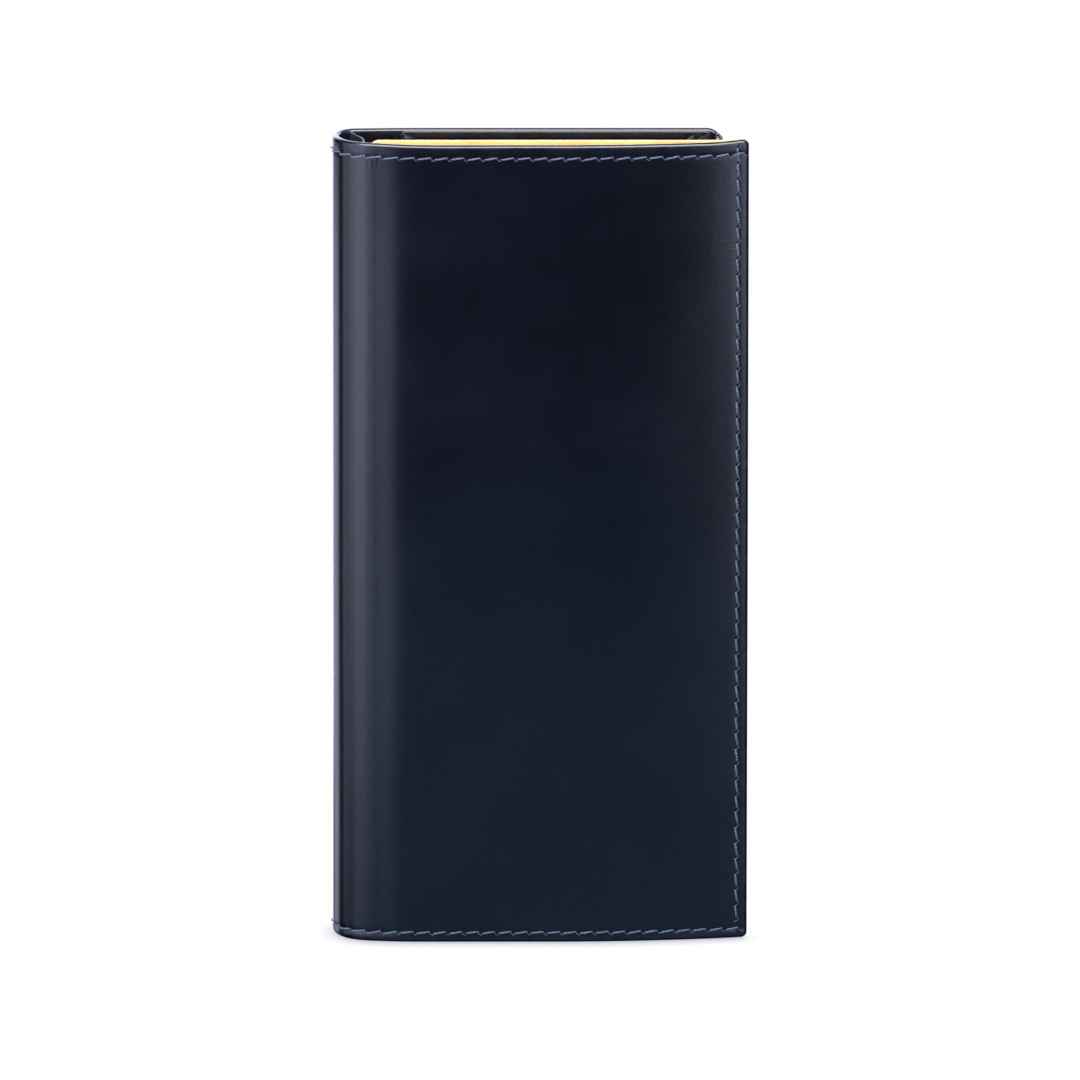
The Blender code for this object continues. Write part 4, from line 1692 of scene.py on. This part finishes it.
def binding_tree() -> Tree:
    """A strip of leather rolled round an edge, with domed ends and a soft pucker at each stitch.

    Returns:
        The geometry tree.
    """
    inputs = {
        "Geometry": "Geometry",
        "Start": "Vector",
        "End": "Vector",
        "Width": 0.002,
        "Depth": 0.006,
        "Fillet": 0.001,
        "Rings": 120,
        "Dome": 0.006,
        "Least": 0.22,
        "Pucker": 0.00005,
        "Pitch": 0.0038,
        "Leather": "Material",
    }
    group = Group("rolled_binding", "Geometry", inputs, ("Geometry",))
    take, step = group.take, group.math
    line = group.add("GeometryNodeCurvePrimitiveLine", {"Start": take["Start"], "End": take["End"]})
    rings = group.add("GeometryNodeResampleCurve", {"Curve": line.outputs[0], "Count": take["Rings"]})
    factor = group.add("GeometryNodeSplineParameter").outputs["Factor"]
    side = step("MINIMUM", factor, step("SUBTRACT", 1.0, factor))
    far = step("SUBTRACT", 1.0, step("MINIMUM", step("DIVIDE", side, take["Dome"]), 1.0))
    square = step("SUBTRACT", 1.0, group.times(far, far))
    radius = step("MAXIMUM", step("SQRT", square), take["Least"])
    swollen = group.add("GeometryNodeSetCurveRadius", {"Curve": rings.outputs[0], "Radius": radius})
    outline = group.add(
        "GeometryNodeCurvePrimitiveQuadrilateral", {"Width": take["Width"], "Height": take["Depth"]}
    )
    rounded = group.add(
        "GeometryNodeFilletCurve",
        {"Curve": outline.outputs[0], "Radius": take["Fillet"], "Limit Radius": True, "Count": 5},
        mode="POLY",
    )
    tube = group.sweep(swollen.outputs[0], rounded.outputs[0], **{"Scale": radius, "Fill Caps": True})
    place = group.add("GeometryNodeInputPosition").outputs[0]
    height = group.add("ShaderNodeSeparateXYZ", {0: place}).outputs[2]
    turns = step("DIVIDE", group.times(height, 2 * math.pi), take["Pitch"])
    wave = group.times(step("COSINE", turns), take["Pucker"])
    normal = group.add("GeometryNodeInputNormal").outputs[0]
    push = group.add("ShaderNodeVectorMath", {0: normal, "Scale": wave}, operation="SCALE")
    soft = group.add("GeometryNodeSetPosition", {"Geometry": tube, "Offset": push.outputs[0]})
    return group.give(group.coloured(group.smooth(soft.outputs[0]), take["Leather"]))


@dataclass
class BackLayers:
    """The lining of the back cover and the rolled strip along the back half's outer edge."""

    finishes: Finishes
    lining_corner: float = 0.0015
    lining_rise: float = 0.0007
    lining_fill: float = 0.00018
    binding_rise: float = 0.0018
    binding_fillet: float = 0.0010

    def build(self) -> None:
        """Builds the lining and the binding."""
        low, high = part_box("back_lining")
        high = high + Vector((0, self.lining_fill, self.lining_rise))
        sheet = flat_sheet(low, high, 1, self.lining_corner)
        name, navy = "back_lining_leather", self.finishes.navy
        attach(fitted(sheet, name, "back_lining", Slot.NAVY_LINING, navy), "back_half")
        self._binding()

    def _binding(self) -> None:
        """Grows the rolled strip along the outer edge."""
        low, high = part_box("outer_binding")
        middle = (low + high) / 2
        strip = new_object("outer_binding_leather", bpy.data.meshes.new("outer_binding_leather"))
        values = {
            "Start": (middle.x, middle.y, low.z),
            "End": (middle.x, middle.y, high.z + self.binding_rise),
            "Width": high.x - low.x,
            "Depth": high.y - low.y,
            "Fillet": self.binding_fillet,
            "Leather": self.finishes.navy,
        }
        grow(binding_tree(), strip, values)
        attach(strip, "back_half")
        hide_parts("outer_binding")


def teeth_tree() -> Tree:
    """A row of zip teeth: rounded blocks set along a straight line.

    Returns:
        The geometry tree.
    """
    inputs = {
        "Geometry": "Geometry",
        "Start": "Vector",
        "Count": 100,
        "Pitch": 0.0012,
        "Tooth": "Vector",
        "Metal": "Material",
    }
    group = Group("zip_teeth", "Geometry", inputs, ("Geometry",))
    take = group.take
    line = group.add(
        "GeometryNodeMeshLine",
        {"Count": take["Count"], "Start Location": take["Start"], "Offset": group.vector(z=take["Pitch"])},
        mode="OFFSET",
    )
    block = group.add("GeometryNodeMeshCube", {"Size": take["Tooth"]})
    rounded = group.add("GeometryNodeSubdivisionSurface", {"Mesh": block.outputs[0], "Level": 1})
    tooth = group.smooth(rounded.outputs[0])
    copies = group.add("GeometryNodeInstanceOnPoints", {"Points": line.outputs[0], "Instance": tooth})
    return group.give(group.coloured(copies.outputs[0], take["Metal"]))


def bevelled_copy(node: str, name: str, width: float) -> Object:
    """A node's own shape with its edges softened.

    Args:
        node: The CAD node.
        name: The piece's name.
        width: How wide the bevels are.

    Returns:
        The piece.
    """
    piece = new_object(name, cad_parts[node].data.copy())
    shape = bmesh.new()
    shape.from_mesh(piece.data)
    bmesh.ops.remove_doubles(shape, verts=shape.verts, dist=1e-6)
    bmesh.ops.dissolve_limit(shape, angle_limit=math.radians(2), verts=shape.verts, edges=shape.edges)
    shape.to_mesh(piece.data)
    shape.free()
    bevel = piece.modifiers.new("bevel", "BEVEL")
    bevel.width, bevel.segments, bevel.limit_method = width, 2, "ANGLE"
    bevel.angle_limit = math.radians(30)
    bevel.harden_normals = False
    settle(piece)
    piece.data.shade_smooth()
    piece.data.set_sharp_from_angle(angle=math.radians(40))
    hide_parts(node)
    return piece


@dataclass
class CoinPurse:
    """The zipped coin purse: two walls, their outer edge, the tapes, teeth, stops, slider and pull."""

    finishes: Finishes
    sewing: Sewing
    wall_corner: float = 0.0020
    tooth_pitch: float = 0.00125
    tooth_height: float = 0.00078
    tooth_overlap: float = 0.00062
    tooth_width: float = 1.1
    tooth_length: float = 1.12
    mouth_seam: float = 0.0016
    end_seam: float = 0.0014
    seam_stop: float = 0.001

    def build(self) -> None:
        """Builds every piece of the purse."""
        self._walls()
        self._teeth()
        leather = (Slot.NAVY_LEATHER, self.finishes.navy_inner)
        metal = (Slot.ZIP_METAL, self.finishes.metal)
        for node, body, width, look in (
            ("purse_outer_edge", "purse", 0.0002, leather),
            ("zip_stop_upper", "purse", 0.00022, metal),
            ("zip_stop_lower", "purse", 0.00022, metal),
            ("zip_slider", "slider", 0.00014, metal),
            ("zip_pull", "pull", 0.00018, metal),
        ):
            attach(finish(bevelled_copy(node, f"{node}_finished", width), *look), body)
        for side in ("front", "rear"):
            for material_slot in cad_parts[f"zip_tape_{side}"].material_slots:
                material_slot.material = self.finishes.tape

    def _walls(self) -> None:
        """Builds the two walls, sewn along the mouth and both ends."""
        inner, pitch = self.finishes.navy_inner, INNER_SEAM.pitch
        for side, way in (("front", 1), ("rear", -1)):
            node = f"purse_{side}_wall"
            low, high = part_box(node)
            sheet = flat_sheet(low, high, way, self.wall_corner, crease(0.0008, 0.00005))
            wall = fitted(sheet, f"{node}_leather", node, Slot.NAVY_LEATHER, inner)
            x, bottom, top = low.x + self.mouth_seam, low.z + self.end_seam, high.z - self.end_seam
            rows = [holes_along(sheet, (x, bottom), (x, top), pitch)]
            last = high.x - self.seam_stop
            rows += [holes_along(sheet, (x, z), (last, z), pitch) for z in (bottom, top)]
            thread = self.finishes.thread
            stitches = self.sewing.row(f"{node}_stitches", rows, INNER_SEAM, thread, inner)
            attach(wall, "purse")
            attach(stitches, "purse")

    def _teeth(self) -> None:
        """Sets both sides' teeth, meshing half a pitch apart."""
        tree = teeth_tree()
        for side, shift, towards in (("front", 0.0, 1), ("rear", 0.5, -1)):
            node = f"zip_teeth_{side}"
            low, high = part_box(node)
            reach = high.y - low.y + self.tooth_overlap
            root = low.y if side == "front" else high.y
            first = low.z + self.tooth_pitch * (0.5 + shift)
            row = new_object(f"{node}_row", bpy.data.meshes.new(f"{node}_row"))
            values = {
                "Start": ((low.x + high.x) / 2, root + towards * reach / 2, first),
                "Count": int((high.z - low.z) / self.tooth_pitch) - 1,
                "Pitch": self.tooth_pitch,
                "Tooth": ((high.x - low.x) * self.tooth_width, reach * self.tooth_length, self.tooth_height),
                "Metal": self.finishes.metal,
            }
            grow(tree, row, values)
            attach(row, "purse")
            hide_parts(node)


# The studio.


@dataclass(frozen=True)
class SoftBox:
    """A soft light, placed by the direction in which it stands from the wallet."""

    name: str
    azimuth: float
    elevation: float
    distance: float
    width: float
    height: float
    watts: float
    colour: Colour = (1.0, 1.0, 1.0)

    def build(self, centre: Vector) -> None:
        """Hangs the light, aimed at the wallet's middle.

        Args:
            centre: The wallet's middle.
        """
        light = bpy.data.lights.new(self.name, "AREA")
        light.shape = "RECTANGLE"
        light.size, light.size_y = self.width, self.height
        light.energy = self.watts
        light.color = self.colour
        lamp = bpy.data.objects.new(self.name, light)
        around, up = math.radians(self.azimuth), math.radians(self.elevation)
        level = math.cos(up)
        way = Vector((math.sin(around) * level, -math.cos(around) * level, math.sin(up)))
        lamp.location = centre + way * self.distance
        lamp.rotation_euler = way.to_track_quat("Z", "Y").to_euler()
        lamp.visible_camera = False
        bpy.context.scene.collection.objects.link(lamp)


@dataclass
class Studio:
    """A white table, soft boxes and a long lens."""

    elevation: float = 15.9
    distance: float = 4.0
    view_height: float = 0.2498
    sensor: float = 36.0
    aim_lift: float = 0.0015
    floor_half: float = 4.0
    floor_gap: float = 0.0003
    boxes: tuple[SoftBox, ...] = (
        SoftBox("left_box", -39, 11.5, 0.9, 0.44, 1.0, 4.8, (0.67, 0.72, 1.0)),
        SoftBox("left_mid_box", -59.5, 11.5, 0.9, 0.22, 1.0, 1.8, (0.68, 0.74, 1.0)),
        SoftBox("left_near_box", -18.5, 11.5, 0.9, 0.20, 1.0, 1.25, (0.67, 0.72, 1.0)),
        SoftBox("left_far_box", -79.5, 9, 0.9, 0.42, 1.0, 1.95, (0.70, 0.76, 1.0)),
        SoftBox("right_box", 33, 16, 1.1, 0.50, 1.2, 6.0, (0.70, 0.76, 1.0)),
        SoftBox("front_card", 0, -38, 0.42, 0.9, 0.34, 0.36, (0.37, 0.62, 1.0)),
        SoftBox("top_box", 0, 62, 0.8, 0.9, 0.5, 20.0, (1.0, 0.98, 0.95)),
        SoftBox("rear_box", 180, 22, 1.6, 2.6, 1.2, 29.0, (0.79, 0.80, 1.0)),
        SoftBox("rear_left_box", -124, -15.9, 0.7, 0.34, 0.22, 0.40, (0.76, 0.82, 1.0)),
        SoftBox("back_spine_box", -161, 10, 0.9, 0.50, 1.0, 3.6, (0.67, 0.72, 1.0)),
        SoftBox("back_card", 180, -36, 0.42, 0.9, 0.34, 0.40, (0.40, 0.62, 1.0)),
        SoftBox("back_edge_box", 148, 14, 1.1, 0.50, 1.2, 3.2, (0.70, 0.76, 1.0)),
    )

    def build(self) -> None:
        """Sets the camera, the world, the floor and the lights."""
        low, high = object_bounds()
        centre = (low + high) / 2
        self._camera(Vector((0.0, low.y, centre.z + self.aim_lift)))
        self._world()
        self._floor(low.z - self.floor_gap)
        for box in self.boxes:
            box.build(centre)
        bpy.context.scene.view_settings.view_transform = "Standard"
        bpy.context.scene.view_settings.look = "None"

    def _camera(self, aim: Vector) -> None:
        """Looks at the front cover from a little above.

        Args:
            aim: The point in the middle of the picture.
        """
        data = bpy.data.cameras.new("camera")
        data.sensor_width = self.sensor
        data.lens = self.sensor * self.distance / self.view_height
        data.clip_start, data.clip_end = 0.05, 50.0
        camera = bpy.data.objects.new("camera", data)
        tilt = math.radians(self.elevation)
        camera.location = aim + Vector((0, -math.cos(tilt), math.sin(tilt))) * self.distance
        camera.rotation_euler = (math.pi / 2 - tilt, 0, 0)
        bpy.context.scene.collection.objects.link(camera)
        bpy.context.scene.camera = camera

    def _world(self) -> None:
        """White round the wallet for the eye, and a dim room for its reflections."""
        world = bpy.data.worlds.new("room")
        world.use_nodes = True
        bpy.context.scene.world = world
        graph = Graph(world.node_tree)
        tree = world.node_tree
        tree.nodes.clear()
        seen = graph.add("ShaderNodeLightPath").outputs["Is Camera Ray"]
        room = graph.add("ShaderNodeBackground", {"Color": (0.8, 0.88, 1.0, 1.0), "Strength": 0.012})
        white = graph.add("ShaderNodeBackground", {"Color": (1.0, 1.0, 1.0, 1.0), "Strength": 1.0})
        both = graph.add("ShaderNodeMixShader", {0: seen, 1: room.outputs[0], 2: white.outputs[0]})
        out = graph.add("ShaderNodeOutputWorld")
        tree.links.new(both.outputs[0], out.inputs[0])

    def _floor(self, level: float) -> None:
        """A plain white table that glows evenly, with a painted contact shadow: faintly darker where the
        wallet stands.

        Args:
            level: The height of its top.
        """
        half = self.floor_half
        mesh = bpy.data.meshes.new("table")
        corners = [(-half, -half, level), (half, -half, level), (half, half, level), (-half, half, level)]
        mesh.from_pydata(corners, [], [(0, 1, 2, 3)])
        table = new_object("table", mesh)
        material = bpy.data.materials.new("white_table")
        material.use_nodes = True
        graph = Graph(material.node_tree)
        material.node_tree.nodes.clear()
        # Painted contact shadow: ambient occlusion makes the glowing table lavender and darker close to the
        # wallet.
        near = graph.add("ShaderNodeAmbientOcclusion", {"Distance": 0.004}, samples=12)
        painted_contact_shadow = graph.mix(near.outputs["AO"], (0.50, 0.50, 0.64), (1.0, 1.0, 1.0))
        glow = graph.add("ShaderNodeEmission", {"Color": painted_contact_shadow, "Strength": 1.0})
        out = graph.add("ShaderNodeOutputMaterial")
        material.node_tree.links.new(glow.outputs[0], out.inputs[0])
        mesh.materials.append(material)
        for ray in ("glossy", "diffuse", "shadow", "transmission"):
            setattr(table, f"visible_{ray}", False)
        table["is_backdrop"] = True


def main() -> None:
    """Builds the wallet's looks and the studio."""
    logging.basicConfig(level=logging.INFO, format="%(message)s")
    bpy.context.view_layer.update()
    Studio().build()
    finishes = Finishes()
    sewing = Sewing(finishes)
    leather = OuterLeather(finishes, sewing)
    leather.build()
    FrontLining(leather, finishes).build()
    CardPanel("front", "front_half", finishes, sewing, way=-1, top_trim=0.0003).build()
    CardPanel("back", "card_panel", finishes, sewing, way=1).build()
    SpineLining(finishes, leather).build()
    Bellows(finishes).build()
    BackLayers(finishes).build()
    CoinPurse(finishes, sewing).build()


if __name__ == "__main__":
    main()
